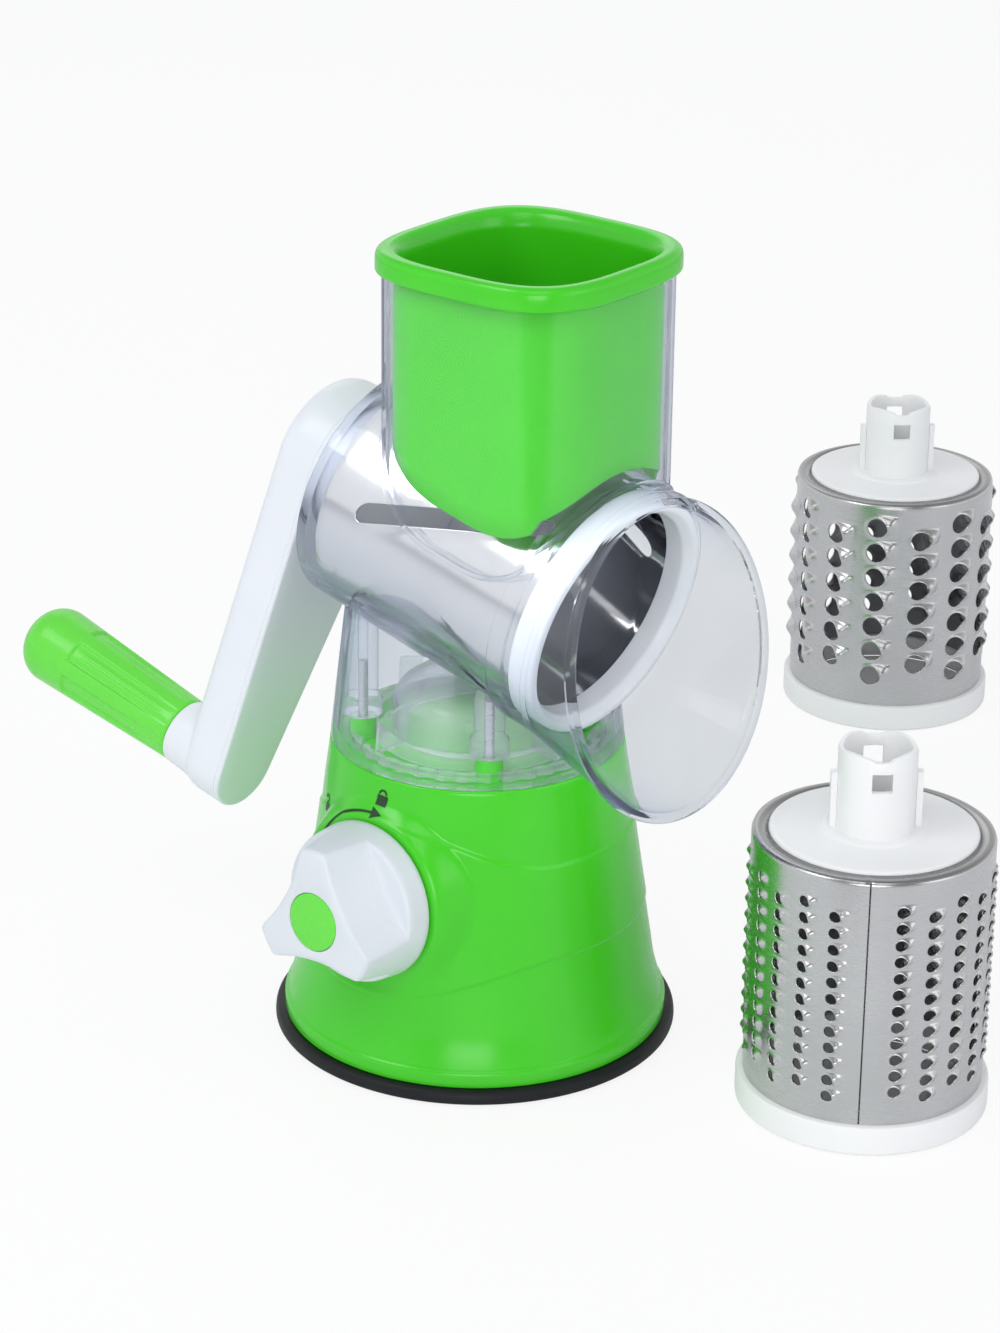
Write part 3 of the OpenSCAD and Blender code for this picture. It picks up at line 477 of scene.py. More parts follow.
def printed():
    """Thin dark ink with a slightly uneven cover."""
    f = Finish("dark_print", (0.015, 0.05, 0.02), 0.45)
    cover = f.noise(900.0, 2.0)
    f.set("Base Color", f.blend(cover, (0.006, 0.03, 0.008), (0.012, 0.05, 0.016)))
    return f.material


SHEET_R, SHEET_WALL, RING_TOP = 38.8, 0.8, 58.3
SHEET_MIDDLE = SHEET_R - 0.4 * SHEET_WALL


def centre_of(node):
    """The middle of a CAD node's box, in millimetres."""
    low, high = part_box(node)
    return (np.array(low) + np.array(high)) / 2 / MM


def standing(ring):
    """A spare drum stands on its ring, closed end up: the drum's axis points down."""
    x, y, _ = centre_of(ring)
    return Place((1, 0, 0), (0, -1, 0), (0, 0, -1), (x, y, RING_TOP))


coarse_place, fine_place = standing("coarse_drum_ring"), standing("fine_drum_ring")
# The last pair of each drum is its painted inside shade, at the back and at the mouth.
steel_slicing = rolled_steel("slicing_steel", 0.84, 0.16, crank, (0.85, 0.5))
steel_coarse = rolled_steel("coarse_steel", 0.58, 0.27, coarse_place, (0.3, 0.3))
steel_fine = rolled_steel("fine_steel", 0.58, 0.27, fine_place, (0.3, 0.3))
steel_small = rolled_steel("screw_steel", 0.68, 0.26)
rubber, ink = rubbery(), printed()
print("spare drums at", np.round(coarse_place.origin), np.round(fine_place.origin))

# %% [markdown]
# The suction cup is a turned shape, so a profile on the lathe makes it: a flat rim on the
# table, a rounded outer edge and a shallow hollow under it. Its upper face has a raised lip.

# %% Suction cup
cup_profile = rounded(
    [
        (0, 2.6), (13, 2.6), (58, 0), (66.4, 0), (67.5, 1.0), (67.3, 3.6), (66.2, 4.75),
        (15.4, 4.75), (15.4, 9.9), (7.2, 9.9), (7.2, 5.0), (0, 5.0),
    ],
    [0, 3, 1, 0.8, 0.8, 1.0, 1.2, 0.6, 1, 0.4, 0.4, 0],
    closed=False,
)
cup = Stock().add(spin(cup_profile, 192)).object("suction_cup_moulding", rubber)
dress(cup, "machine", "rubber_black", "suction_cup")

# %% [markdown]
# The base is a flared shell. Round it runs a raised band whose edges swing apart towards the
# knob, and on the knob's side the wall swells into a round flat seat. Each is a small shift of
# the same wall: the seat pulls the wall along the knob's axis, and the band then pushes it out.


# %% Base shell
BAND, BAND_Z = 0.6, 60.5
SEAT_R, SEAT_EDGE = 27.3, 34.0


def wall_radius(z):
    """The flare: a smooth curve through measured heights and radii."""
    zs = np.array([10.9, 12.3, 20, 30, 45, 60, 74.5, 90, 103.0])
    rs = np.array([63.0, 62.65, 60.54, 58.9, 56.5, 54.1, 51.96, 50.05, 48.3])
    slope = np.gradient(rs, zs)
    k = np.clip(np.searchsorted(zs, z) - 1, 0, len(zs) - 2)
    h = zs[k + 1] - zs[k]
    t, rise, start, end = (z - zs[k]) / h, rs[k + 1] - rs[k], h * slope[k], h * slope[k + 1]
    bend = 3 * rise - 2 * start - end + t * (start + end - 2 * rise)
    return rs[k] + t * (start + t * bend)


def band_rise(az, z):
    """The band's relief: half 15 mm wide, swelling as a squared cosine to 30 mm at the knob."""
    off = np.abs((az - 180 + 180) % 360 - 180)
    half = 15.2 + np.where(off < 72, 14.8 * np.cos(np.radians(90 * off / 72)) ** 2, 0)
    return BAND * smoothstep(half - np.abs(z - BAND_Z), -0.5, 0.7) * (z > 13)


def seat_pull(h, away):
    """Brings the height along the knob's axis to the seat, near the axis."""
    return h + (KNOB_SEAT - BAND - 0.25 - h) * (1 - smoothstep(away, SEAT_R, SEAT_EDGE))


def base_wall(az, z):
    """A point of the wall: the flare, pulled flat round the knob, plus the band."""
    a = np.radians(az)
    r = wall_radius(z)
    q = knob_place.local(around(r, a, z))
    pulled = seat_pull(q[..., 2], np.hypot(q[..., 0], q[..., 1]))
    q[..., 2] = np.where(q[..., 2] > 0, pulled, q[..., 2])
    return knob_place(q) + around(1 + 0 * z, a, 0.0) * band_rise(az, z)[..., None]


def base_shell():
    """The wall with its foot, top and inside; its columns lie closer together at the knob."""
    w = np.linspace(-1, 1, 360, endpoint=False)
    az = 180 + 180 * (0.42 * w + 0.58 * w**3)
    steps = ((11.2, 24, 20), (24.5, 96, 150), (96.6, 102.2, 8))
    z = np.concatenate([np.linspace(*step) for step in steps])
    wall = base_wall(az[None, :], z[:, None])
    ring = lambda prof: around(prof[:, 0, None], np.radians(az), prof[:, 1, None])
    top = ring(np.array([(48.1, 102.7), (47.6, 103.0), (20, 103.0), (0, 103.0)]))
    lip = [(60, 4.85), (64.2, 4.85), (64.2, 9.8), (63.0, 10.9)]
    foot = ring(rounded(lip, [0, 0.5, 0.9, 0.1], closed=False))
    inner = ring(np.array([(0, 100.0), (45.7, 100.0), (51.6, 60), (58, 20), (60, 4.85)]))
    return np.concatenate([inner, foot, wall, top])


POST_AT = 26.6
posts = [(x, y) for x in (-POST_AT, POST_AT) for y in (-POST_AT, POST_AT)]
base_stock = Stock().add(base_shell())
post = rounded([(1.8, 102.5), (4.4, 102.5), (4.4, 111), (1.8, 111)], [0, 0, 0.5, 0.3])
for x, y in posts:
    base_stock.add(spin(post, 40) + np.array([x, y, 0]), close_rows=True)
base = base_stock.object("base_shell_moulding", green, crisp=50)
dress(base, "machine", "plastic_green", "base_shell")

# %% [markdown]
# The print beside the knob is a turn arrow and two padlock signs. They are drawn flat, round the
# knob's axis, as small grids. Each point is then dropped on the wall along that axis. The height
# of the wall isn't known in one step, because it depends on itself through the axis's tilt, so
# it is found by putting a guess in and taking the answer out, four times.


# %% Printed marks
def on_wall(u, v, proud):
    """Points of the wall at u up and v across the knob's axis, raised by a little."""
    h = np.full(np.shape(u), KNOB_SEAT)
    for _ in range(4):
        z = KNOB_Z + u * math.cos(RISE) + h * math.sin(RISE)
        h = (u * math.sin(RISE) + np.sqrt(wall_radius(z) ** 2 - v**2)) / math.cos(RISE)
    h = seat_pull(h, np.hypot(u, v))
    az = np.degrees(np.arctan2(v, u * math.sin(RISE) - h * math.cos(RISE)))
    h = h + band_rise(az % 360, z) / np.cos(np.radians(180 - az % 360)) + proud
    return knob_place(np.stack([u, v, h], -1))


def mark(stock, flat):
    """A flat grid of the sign becomes a closed plate 0.3 mm thick, mostly sunk in the wall."""
    u, v = flat[..., 0], flat[..., 1]
    face, back = on_wall(u, v, 0.14), on_wall(u, v, -0.16)
    stock.add(np.concatenate([face, back[::-1]]), close_rows=True, close_cols=False)
    for edge in (0, -1):
        stock.add(np.stack([face[:, edge], back[:, edge]]), close_cols=False)


def polar(radius, degrees):
    """Points in a plane at a radius and an angle in degrees."""
    a = np.radians(degrees)
    return np.stack([radius * np.cos(a), radius * np.sin(a)], -1)


def padlock(stock, radius, degrees, upright, lift):
    """A body, and a bow that is half a ring; an open one stands to the side of its body."""
    t = math.radians(upright)
    turn = np.array([[math.cos(t), math.sin(t)], [-math.sin(t), math.cos(t)]])
    place = lambda grid: grid @ turn + polar(radius, degrees)
    up, across = np.linspace(-3.2, 0, 5)[:, None], np.linspace(-2.1, 2.1, 7)[None, :]
    mark(stock, place(np.stack([up + 0 * across, across + 0 * up], -1)))
    bow = np.linspace(-90, 90, 13)[:, None]
    ring = polar(np.linspace(1.0, 1.7, 3)[None, :] + 0 * bow, bow + 0 * np.ones((1, 3)))
    mark(stock, place(ring + np.array([0.35, lift])))


print_stock = Stock()
arc = np.linspace(2, 46, 24)[:, None]
shaft = np.interp(arc, [0, 26, 35, 46], [29.2, 29.0, 27.9, 26.6])
mark(print_stock, polar(shaft + np.linspace(-0.36, 0.36, 3)[None, :], arc + np.zeros((1, 3))))
head = np.linspace(0, 1, 8)[:, None]
spread = 29.2 + np.linspace(-1.7, 1.7, 9)[None, :] * head
mark(print_stock, polar(spread, -6 + 8.2 * head + np.zeros((1, 9))))
padlock(print_stock, 34.8, -2, -2, 0.0)
padlock(print_stock, 34.8, 50, 0, 2.1)
marks = print_stock.object("lock_marks_print", ink)
dress(marks, "machine", "print_dark", "lock_marks")

# %% [markdown]
# The knob is a low cone. Above a ledge, three big hollows are cut into it, so that three lobes
# stay between them. Seen from the end, each hollow is part of a big circle. One formula gives
# the radius for every angle and height: the smaller of the cone and the three hollows, blended
# so that no edge is sharp. The rows climb the skirt, turn over its rounded edge, cross the
# ledge where there is one, and climb the hollow to the face.


# %% Suction knob
KNOB_TOP, KNOB_LEDGE = 27.0, 9.5


def soft_min(a, b, k):
    """The smaller of two values, rounded over a width of k."""
    h = np.clip(0.5 + 0.5 * (b - a) / k, 0, 1)
    return b + (a - b) * h - k * h * (1 - h)


def cone_radius(h):
    """The knob's cone: 26.4 mm at the seat, 2.4 mm less at the face."""
    return 26.4 - 2.4 * h / KNOB_TOP


def lobe_radius(angle, h, waist=13.4, hollow_r=60.0, slope=13.0):
    """Distance from the axis to the grip's side at an angle and a height."""
    r = cone_radius(h) + 0 * angle
    for k in range(3):
        turn = angle - math.radians(63 + 120 * k)
        centre = waist + hollow_r + (KNOB_TOP - h) * math.tan(math.radians(slope))
        inside = np.maximum(hollow_r**2 - (centre * np.sin(turn)) ** 2, 1e-6)
        hollow = centre * np.cos(turn) - np.sqrt(inside)
        hollow = np.where((inside <= 1e-5) | (np.cos(turn) < 0), 60.0, hollow)
        r = soft_min(r, hollow, 3.0)
    return r


def knob_grid():
    """Rows from the knob's back to its face; the arcs between them are quarter circles."""
    a = turns(360)
    row = lambda r, h: around(r, a, h)
    rows = [row(r + 0 * a, h) for r, h in ((0, 0.3), (20, 0.3), (25.9, 0.3), (26.35, 0.8))]
    edge = cone_radius(KNOB_LEDGE)
    foot = lobe_radius(a, KNOB_LEDGE)
    depth = np.maximum(edge - foot, 0.0)
    turn_r, crease = np.minimum(1.2, 0.3 * depth), np.minimum(3.4, 0.6 * depth)
    for u in np.linspace(0.2, 1, 5):
        h = 0.8 + (KNOB_LEDGE - turn_r - 0.8) * u
        rows.append(row(cone_radius(h), h))
    for t in np.linspace(0.2, 1, 6) * math.pi / 2:
        rows.append(row(edge - turn_r * (1 - math.cos(t)), KNOB_LEDGE - turn_r * (1 - math.sin(t))))
    for u in (0.33, 0.66, 1.0):
        rows.append(row((edge - turn_r) * (1 - u) + (foot + crease) * u, KNOB_LEDGE))
    for t in np.linspace(0.17, 1, 6) * math.pi / 2:
        rows.append(row(foot + crease * (1 - math.sin(t)), KNOB_LEDGE + crease * (1 - math.cos(t))))
    low = rows[-1][:, 2]
    brow = 1.9
    for u in np.linspace(0.05, 1, 18):
        h = low + (KNOB_TOP - brow - low) * u
        rows.append(row(lobe_radius(a, h), h))
    top = lobe_radius(a, KNOB_TOP - brow)
    for t in np.linspace(0.2, 1, 5) * math.pi / 2:
        rows.append(row(top - brow * (1 - math.cos(t)), KNOB_TOP - brow * (1 - math.sin(t))))
    for r, h in ((10.1, 27.0), (9.85, 26.9), (9.8, 26.6), (9.8, 25.5), (0, 25.5)):
        rows.append(row(np.minimum(r + 0 * a, top - 2.1), h))
    grid = np.array(rows)
    grid[..., 2] += KNOB_SEAT
    return knob_place(grid)


knob = Stock().add(knob_grid()).object("knob_moulding", knob_pale_painted_shade, crisp=60)
dress(knob, "knob_unit", "plastic_pale", "knob")

cap_corners = [(0, 25.6), (9.6, 25.6), (9.6, 26.9), (8.6, 27.15), (0, 27.6)]
cap_profile = rounded(cap_corners, [0, 0.2, 0.3, 2, 0], closed=False)
cap = Stock().add(knob_place(spin(cap_profile + [0, KNOB_SEAT], 96))).object("knob_cap_moulding", lime)
dress(cap, "knob_unit", "plastic_green", "knob_cap")

# %% [markdown]
# The clear housing is one moulding of four plain forms that run into each other: a cone, the
# barrel with its collar, a rounded square chute, and a flared outlet. Each form is made as a
# closed solid on the lathe or by lofting, once for the outside and once for the hollow, and
# Blender's exact boolean joins the outsides and then cuts the hollows away. The bore, the flare
# and the chute's inside are joined first and cut in one go, or a thin disc stays in the mouth.


# %% Clear housing
def bulged(a, steps=144, power=3.35):
    """A square with bulging sides: |x|^n + |y|^n = a^n, in even steps of the angle."""
    t = turns(steps)
    r = a / (np.abs(np.cos(t)) ** power + np.abs(np.sin(t)) ** power) ** (1 / power)
    return np.stack([r * np.cos(t), r * np.sin(t)], -1)


CHUTE_Y = -19.0


def chute_rows(levels):
    """Rounded squares at (half width, height) levels, closed by a point at each end."""
    rows = [at_height(bulged(max(a, 1e-6)), z) for a, z in levels]
    return np.array(rows) + np.array([0, CHUTE_Y, 0])


def mouth_ring(radius, out, drop=2.2, at=81.8, lean=25.0):
    """A circle of the outlet's lip: its plane leans back by the given angle."""
    flat = barrel_ring(radius, out)
    c, s = math.cos(math.radians(-lean)), math.sin(math.radians(-lean))
    y, z = flat[:, 1] * c - flat[:, 2] * s, flat[:, 1] * s + flat[:, 2] * c
    return np.stack([flat[:, 0], y - drop, z + at], -1)


def barrel_ring(radius, s):
    """A circle round the barrel's axis, s along it."""
    return around(radius, turns(128), s)


def flare_rows(r_root, r_mouth, s_root, extra, lip=()):
    """Loft in straight lines from a barrel circle to the lip's circle, then round the lip."""
    rows = [barrel_ring(1e-6, s_root), barrel_ring(r_root, s_root)]
    a, b = barrel_ring(r_root, s_root), mouth_ring(r_mouth, -3.0)
    for u in np.linspace(0, 1, 14)[1:]:
        rows.append(a + (b - a) * u)
    for r, out in lip:
        rows.append(mouth_ring(r, out))
    rows.append(mouth_ring(1e-6, extra))
    return barrel(np.array(rows))


def solid(grid, name):
    """A closed grid as a bare object, ready for a boolean."""
    return Stock().add(grid).object(name, None)


def combine(target, tool, operation):
    """Applies one boolean step to the target's mesh and removes the tool."""
    step = target.modifiers.new("step", "BOOLEAN")
    step.object, step.operation, step.solver = tool, operation, "EXACT"
    bpy.context.view_layer.update()
    seen = target.evaluated_get(bpy.context.evaluated_depsgraph_get())
    mesh = bpy.data.meshes.new_from_object(seen)
    target.modifiers.clear()
    target.data = mesh
    bpy.data.objects.remove(tool)
    return target


def lathe(corners, radii=None, name="part", place=table):
    """A closed turned solid, with its corners rounded where radii are given."""
    profile = np.array(corners, float) if radii is None else rounded(corners, radii, closed=False)
    return solid(place(spin(profile, 160)), name)


def housing():
    """The four outsides joined, less the cone's hollow and the way through."""
    body = lathe([(0, 103.05), (48.3, 103.05), (48.0, 106.5), (41.2, 168), (0, 168)],
                 [0, 0.5, 0.3, 0.5, 0], "housing_moulding")
    tube = lathe(
        [(0, -51.2), (24.5, -51.2), (24.5, -41.8), (BARREL_R, -41.8), (BARREL_R, 40.6),
         (44.2, 41.4), (44.2, 60), (0, 60)],
        [0, 0.8, 0.8, 1.0, 0.6, 0.6, 0.4, 0], place=barrel)
    chute = chute_rows([(0, 165), (40, 165), (40, 263.8), (39.6, 264.4), (39.0, 264.6), (0, 264.6)])
    flare = flare_rows(44.5, 49.7, 56.0, 0.0, [
        (50.6, -3.0), (51.2, -2.5), (51.3, -1.2), (51.0, -0.4), (50.2, 0.0), (48.6, 0.0)])
    for part in (tube, solid(chute, "chute"), solid(flare, "flare")):
        combine(body, part, "UNION")
    cone = lathe([(0, 102), (42.2, 102), (42.2, 106.3), (45.3, 106.6), (38.6, 168.2), (0, 168.2)])
    keep = lathe([(0, -41.8), (42.03, -41.8), (42.03, 41.37), (44.23, 41.37), (44.23, 60), (0, 60)],
                 place=barrel)
    combine(cone, keep, "DIFFERENCE")
    bore = lathe([(0, -60), (22, -60), (22, -39.3), (39.9, -39.3), (39.9, 46), (41.7, 46),
                  (41.7, 60.5), (0, 60.5)], place=barrel)
    feed = chute_rows([(0, 166), (37.8, 166), (37.8, 264), (38.3, 264.6), (38.8, 266), (0, 266)])
    ledge = lathe([(0, 41.2), (44.0, 41.2), (44.0, 120), (0, 120)], place=barrel)
    feed_cut = combine(solid(feed, "feed"), ledge, "DIFFERENCE")
    flare_hollow = flare_rows(41.9, 47.6, 56.6, 2.0, [(47.9, -0.8), (48.8, 0.3), (49.0, 1.0)])
    way_through = combine(bore, solid(flare_hollow, "flare_hollow"), "UNION")
    combine(way_through, feed_cut, "UNION")
    combine(body, cone, "DIFFERENCE")
    return combine(body, way_through, "DIFFERENCE")


clear_body = polish(housing(), clear, 28)
dress(clear_body, "machine", "plastic_clear", "clear_housing")

# %% [markdown]
# Inside the pedestal the same moulding has four screw posts with thick collars, a ring wall and
# thin ribs. They are separate grids in one piece, a hair apart from the outer wall, because the
# light in clear plastic shows every inner wall as a bright line.


# %% Posts and ribs of the housing
def barrel_underside(x, y):
    """Height of the barrel's outer wall straight above a point of the table."""
    return BARREL_Z + y * math.tan(TILT) - math.sqrt(BARREL_R**2 - x**2) / math.cos(TILT)


inner = Stock()
for x, y in posts:
    top = barrel_underside(x, y) + 1.0
    prof = rounded(
        [(1.5, 111.3), (6.4, 111.3), (6.4, 117.3), (5.0, 117.6), (5.0, top), (1.5, top)],
        [0.2, 0.5, 0.6, 0.4, 0, 0])
    inner.add(spin(prof, 40) + np.array([x, y, 0]), close_rows=True)
dome = [(26.4, 105), (28, 105), (28, 117), (23, 122.5), (0, 124.5), (0, 123), (22, 120.8), (26.4, 116)]
inner.add(spin(rounded(dome, [0.4, 0.4, 6, 6, 0, 0, 5, 5], steps=7, closed=False), 128), close_rows=True)
low_ring = rounded([(32.4, 103.3), (34, 103.3), (34, 109.5), (32.4, 109.5)], 0.4)
inner.add(spin(low_ring, 128), close_rows=True)
foot_ring = rounded([(39.6, 103.3), (41.9, 103.3), (41.9, 106.8), (39.6, 106.2)], 0.4)
ripple = 1 + 0.012 * np.sign(np.sin(turns(288) * 36))[None, :, None]
inner.add(spin(foot_ring, 288) * np.where([True, True, False], ripple, 1), close_rows=True)
for a in np.radians(np.array([0, 90, 180, 270]) - 12):
    along, side = around(1.0, a, 0.0), around(1.0, a + math.pi / 2, 0.0)
    prof = rounded([(29.2, 106.8), (41.5, 106.8), (40.6, 117), (29.2, 121)], 0.6)
    mid = prof.mean(0)
    rows = []
    for w, k in ((-0.7, 0), (-0.7, 1), (0.7, 1), (0.7, 0)):
        q = mid + (prof - mid) * k
        rows.append(along * q[:, :1] + side * w + np.array([0, 0, 1]) * q[:, 1:])
    inner.add(np.array(rows))
inner_part = inner.object("housing_posts", cloudy)
dress(inner_part, "machine", "plastic_clear")

# %% [markdown]
# The pusher is a deep cup. Its side is the same bulged square all the way, so it is lofted as
# rows of that outline, but its foot is cut to the curve of the drum. The trick is that the
# height of the lowest rows isn't one number: it is the height of a cylinder above each point.
# The same height, nearer to the drum, gives the bead where the clear chute meets the barrel.


# %% Pusher
def over_drum(x, y, radius):
    """Height of a cylinder of that radius about the barrel's axis, above points x, y."""
    reach = np.sqrt(np.maximum(radius**2 - x**2, 25.0))
    return BARREL_Z + y * math.tan(TILT) + reach / math.cos(TILT)


def saddle(x, y, extra):
    """The foot: over the drum, and over the wider collar near the outlet."""
    drum = over_drum(x, y, 44.6 + extra)
    collar = over_drum(x, y, 46.9 + extra)
    s = -y * math.cos(TILT) - (collar - BARREL_Z) * math.sin(TILT)
    return drum + (collar - drum) * smoothstep(s, 39.0 - extra, 40.6 - extra)


def pusher_grid():
    """Rows over the foot, up the side, round the rim and down the inside."""
    half, wall, rim_z, rim_h = 36.9, 2.4, 264.9, 7.6
    flat = bulged(1.0, 192)
    at = lambda a: flat * a + np.array([0, CHUTE_Y])
    level = lambda a, z: at_height(at(a), z)
    foot = lambda a, e: at_height(at(a), saddle(*at(a).T, e))
    rows = [foot(a, 0.0) for a in np.linspace(1e-6, half - 1.2, 30)]
    edge = foot(half, 0.0)[:, 2]
    rows.append(level(half - 0.35, foot(half - 0.35, 0)[:, 2] + 0.25))
    rows.append(level(half, edge + 1.2))
    for u in np.linspace(0.1, 1, 16):
        rows.append(level(half, edge + 1.2 + (rim_z - edge - 1.2) * u))
    top = rim_z + rim_h
    for a, z in rounded(
        [(half, rim_z), (41.8, rim_z), (41.8, top), (36.6, top), (34.5, top - 4.5), (34.5, top - 8)],
        [0, 1.2, 3.4, 2.4, 3, 0], steps=8, closed=False):
        rows.append(level(a, z))
    inner = half - wall
    floor = foot(inner, wall)[:, 2]
    for u in np.linspace(0.1, 0.95, 12):
        rows.append(level(inner, top - 8 + (floor + 1.5 - top + 8) * u))
    rows.append(level(inner - 0.5, floor + 0.4))
    rows += [foot(a, wall) for a in np.linspace(inner - 1.5, 1e-6, 24)]
    return np.array(rows)


BEAD_R = 0.9
joint = bulged(40.2, 192)
normal = np.roll(joint, -1, 0) - np.roll(joint, 1, 0)
normal = np.stack([normal[:, 1], -normal[:, 0]], -1) / np.linalg.norm(normal, axis=1)[:, None]
joint = joint + np.array([0, CHUTE_Y])
height = saddle(*joint.T, -2.4)
bead = [np.column_stack([joint + normal * BEAD_R * math.cos(t), height + BEAD_R * math.sin(t)])
        for t in turns(10)]
bead = Stock().add(np.array(bead), close_rows=True).object("housing_joint", clear)
dress(bead, "machine", "plastic_clear")

pusher = Stock().add(pusher_grid()).object("pusher_moulding", green, crisp=50)
dress(pusher, "pusher_unit", "plastic_green", "pusher")

# %% [markdown]
# Each drum's skin is a steel sheet full of holes. A boolean for every hole would be slow and
# rough, so the sheet is laid out flat as tiles. Each tile is a set of rings that grow from the
# edge of the hole to the tile's own border. All columns share one ladder of levels, so tiles and
# plain strips meet point to point when the sheet is rolled up. The rings on one side of a hole
# are lifted into the long pointed nose that does the cutting.


# %% Punched sheets
LOW, HIGH = -35.2, 51.3
LIP = ((33.6, -36.5), (37.5, -36.5), (38.42, -36.12), (SHEET_R, LOW))
SHARES = np.array([0, 0.07, 0.16, 0.28, 0.42, 0.6, 0.8, 1.0])


def roll_up(x, s, lift):
    """A point of the flat sheet on the drum: x becomes an angle, lift adds to the radius."""
    return around(SHEET_R + lift, x / SHEET_R, s)


def tile_border(width, height, per_side):
    """Points round a rectangle, the same number on each side, starting at its right middle."""
    t = np.arange(4 * per_side) / per_side
    side, u = t.astype(int), t % 1
    x = np.choose(side, [1 + 0 * u, 1 - 2 * u, -1 + 0 * u, -1 + 2 * u])
    y = np.choose(side, [-1 + 2 * u, 1 + 0 * u, 1 - 2 * u, -1 + 0 * u])
    return np.stack([x * width / 2, y * height / 2], -1)


def tile(width, height, per_side, hole, nose):
    """Rings from the hole to the border, and the lift of each point.

    With u along the nose and v across it, both in hole radii, the nose's lift is
    0.6 exp(-((u - 1.2) / 0.85)^2 - (v / w)^2) hole radii, where w shrinks towards the tip.
    A low ridge runs round the hole, and both fade out before the border.
    """
    border = tile_border(width, height, per_side)
    a = np.arctan2(border[:, 1], border[:, 0])
    rim = np.stack([np.cos(a), np.sin(a)], -1) * hole
    w = SHARES[:, None, None]
    flat = rim + (border - rim) * w
    t = math.radians(nose)
    u = (flat[..., 0] * math.cos(t) + flat[..., 1] * math.sin(t)) / hole
    v = (flat[..., 1] * math.cos(t) - flat[..., 0] * math.sin(t)) / hole
    taper = np.clip(0.85 - 0.32 * (u - 1), 0.22, 0.85)
    long_nose = 0.6 * np.exp(-(((u - 1.2) / 0.85) ** 2) - (v / taper) ** 2) * (u > 0)
    rim_lift = 0.06 * np.exp(-(((np.hypot(u, v) - 1) / 0.2) ** 2))
    lift = (long_nose + rim_lift) * hole * (1 - smoothstep(w[..., 0], 0.5, 0.98))
    return flat[:, ::-1], lift[:, ::-1]


def turned_lip(stock, place, ring):
    """The sheet's edge turned in over the rim of the hub's plate, from the row of its points."""
    rows = [ring * [r / SHEET_R, r / SHEET_R, 0] + [0, 0, s] for r, s in LIP]
    return stock.add(place(np.array(rows)))


def grating_sheet(place, columns, holes, pitch, hole, per_side, nose, middle, shift, turn,
                  seam=False):
    """Columns of tiles between plain strips; holes and shift are functions of the column."""
    width = 2 * np.pi * SHEET_R / columns
    step = pitch / per_side
    origin = middle + shift(0) * pitch
    lowest, highest = (LOW - origin) / step + 0.2, (HIGH - origin) / step - 0.2
    n = np.arange(math.ceil(lowest), math.floor(highest) + 1)
    ladder = np.concatenate([[LOW], origin + n * step, [HIGH]])
    flat, lift = tile(width, pitch, per_side, hole, nose)
    even = np.linspace(-width / 2, width / 2, per_side + 1)
    stock, bottom_row = Stock(), []
    for c in range(columns):
        x0 = math.radians(turn) * SHEET_R + c * width
        count = holes(c)
        x, dent = even, 0 * even
        if count == 0 and seam:
            ends = [even[0], -0.3, 0, 0.3, even[-1]]
            x = np.interp(np.arange(len(even)), [0, 2, 3, 4, len(even) - 1], ends)
            dent = np.where(np.abs(x) < 0.1, -0.5, 0.0)
        bottom_row.append(roll_up(x0 + x[:-1], LOW, dent[:-1]))
        first = middle + (shift(c) - count / 2) * pitch
        last = first + count * pitch
        strips = [ladder[ladder < first + 1e-6], ladder[ladder > last - 1e-6]]
        for levels in strips if count else [ladder]:
            strip = roll_up(x0 + x + 0 * levels[:, None], levels[:, None], dent)
            stock.add(place(strip), close_cols=False)
        for k in range(count):
            height = first + (k + 0.5) * pitch + flat[..., 1]
            stock.add(place(roll_up(x0 + flat[..., 0], height, lift)))
    return turned_lip(stock, place, np.concatenate(bottom_row))


def finish_sheet(stock, name, steel, body):
    """Gives the rolled sheet its thickness, inwards."""
    thing = stock.object(name, steel, crisp=50, outward=False)
    wall = thing.modifiers.new("wall", "SOLIDIFY")
    wall.thickness, wall.offset = SHEET_WALL * MM, -1
    dress(thing, body, "steel_sheet", body + "_sheet")


finish_sheet(
    grating_sheet(coarse_place, 14, lambda c: 7 - c % 2, 10.4, 4.0, 10, 199, 4.4, lambda c: 0.0, 1.8),
    "coarse_drum_skin", steel_coarse, "coarse_drum")
finish_sheet(
    grating_sheet(fine_place, 23, lambda c: 12 if c else 0, 5.7, 2.0, 6, 199, 6.7,
                  lambda c: ((c % 2) - 0.5) / 2, 147.7, seam=True),
    "fine_drum_skin", steel_fine, "fine_drum")

# %% [markdown]
# The slicing drum has three long slots on a slant. The sheet is drawn in slanted coordinates,
# where a slot is upright: a row of points that moves round the drum as it moves along it. Each
# third of the drum is one big tile with a slot in it, and one long edge of the slot is raised
# into a blade.


# %% Slicing drum's sheet
SLOT_HALF = 3.5


def quarter(side, arc):
    """One quarter of a slot with round ends and of its tile's border, point for point."""
    half_w, half_len, wide, tall = SLOT_HALF, 32.0, np.pi * SHEET_R / 3, (HIGH - LOW) / 2
    j, k = np.arange(side) / side, np.arange(arc) / arc
    slot = np.concatenate([
        np.stack([half_w + 0 * j, (half_len - half_w) * j], -1),
        polar(half_w, k * 90) + [0, half_len - half_w]])
    border = np.concatenate([
        np.stack([wide + 0 * j, tall * j], -1), np.stack([wide * (1 - k), tall + 0 * k], -1)])
    ends = np.array([[0, half_len]]), np.array([[0, tall]])
    return np.concatenate([slot, ends[0]]), np.concatenate([border, ends[1]])


def all_round(q):
    """Mirrors a quarter into the other three, without doubling the points on the axes."""
    top = np.concatenate([q, q[-2::-1] * [-1, 1]])
    return np.concatenate([top, top[-2:0:-1] * [1, -1]])


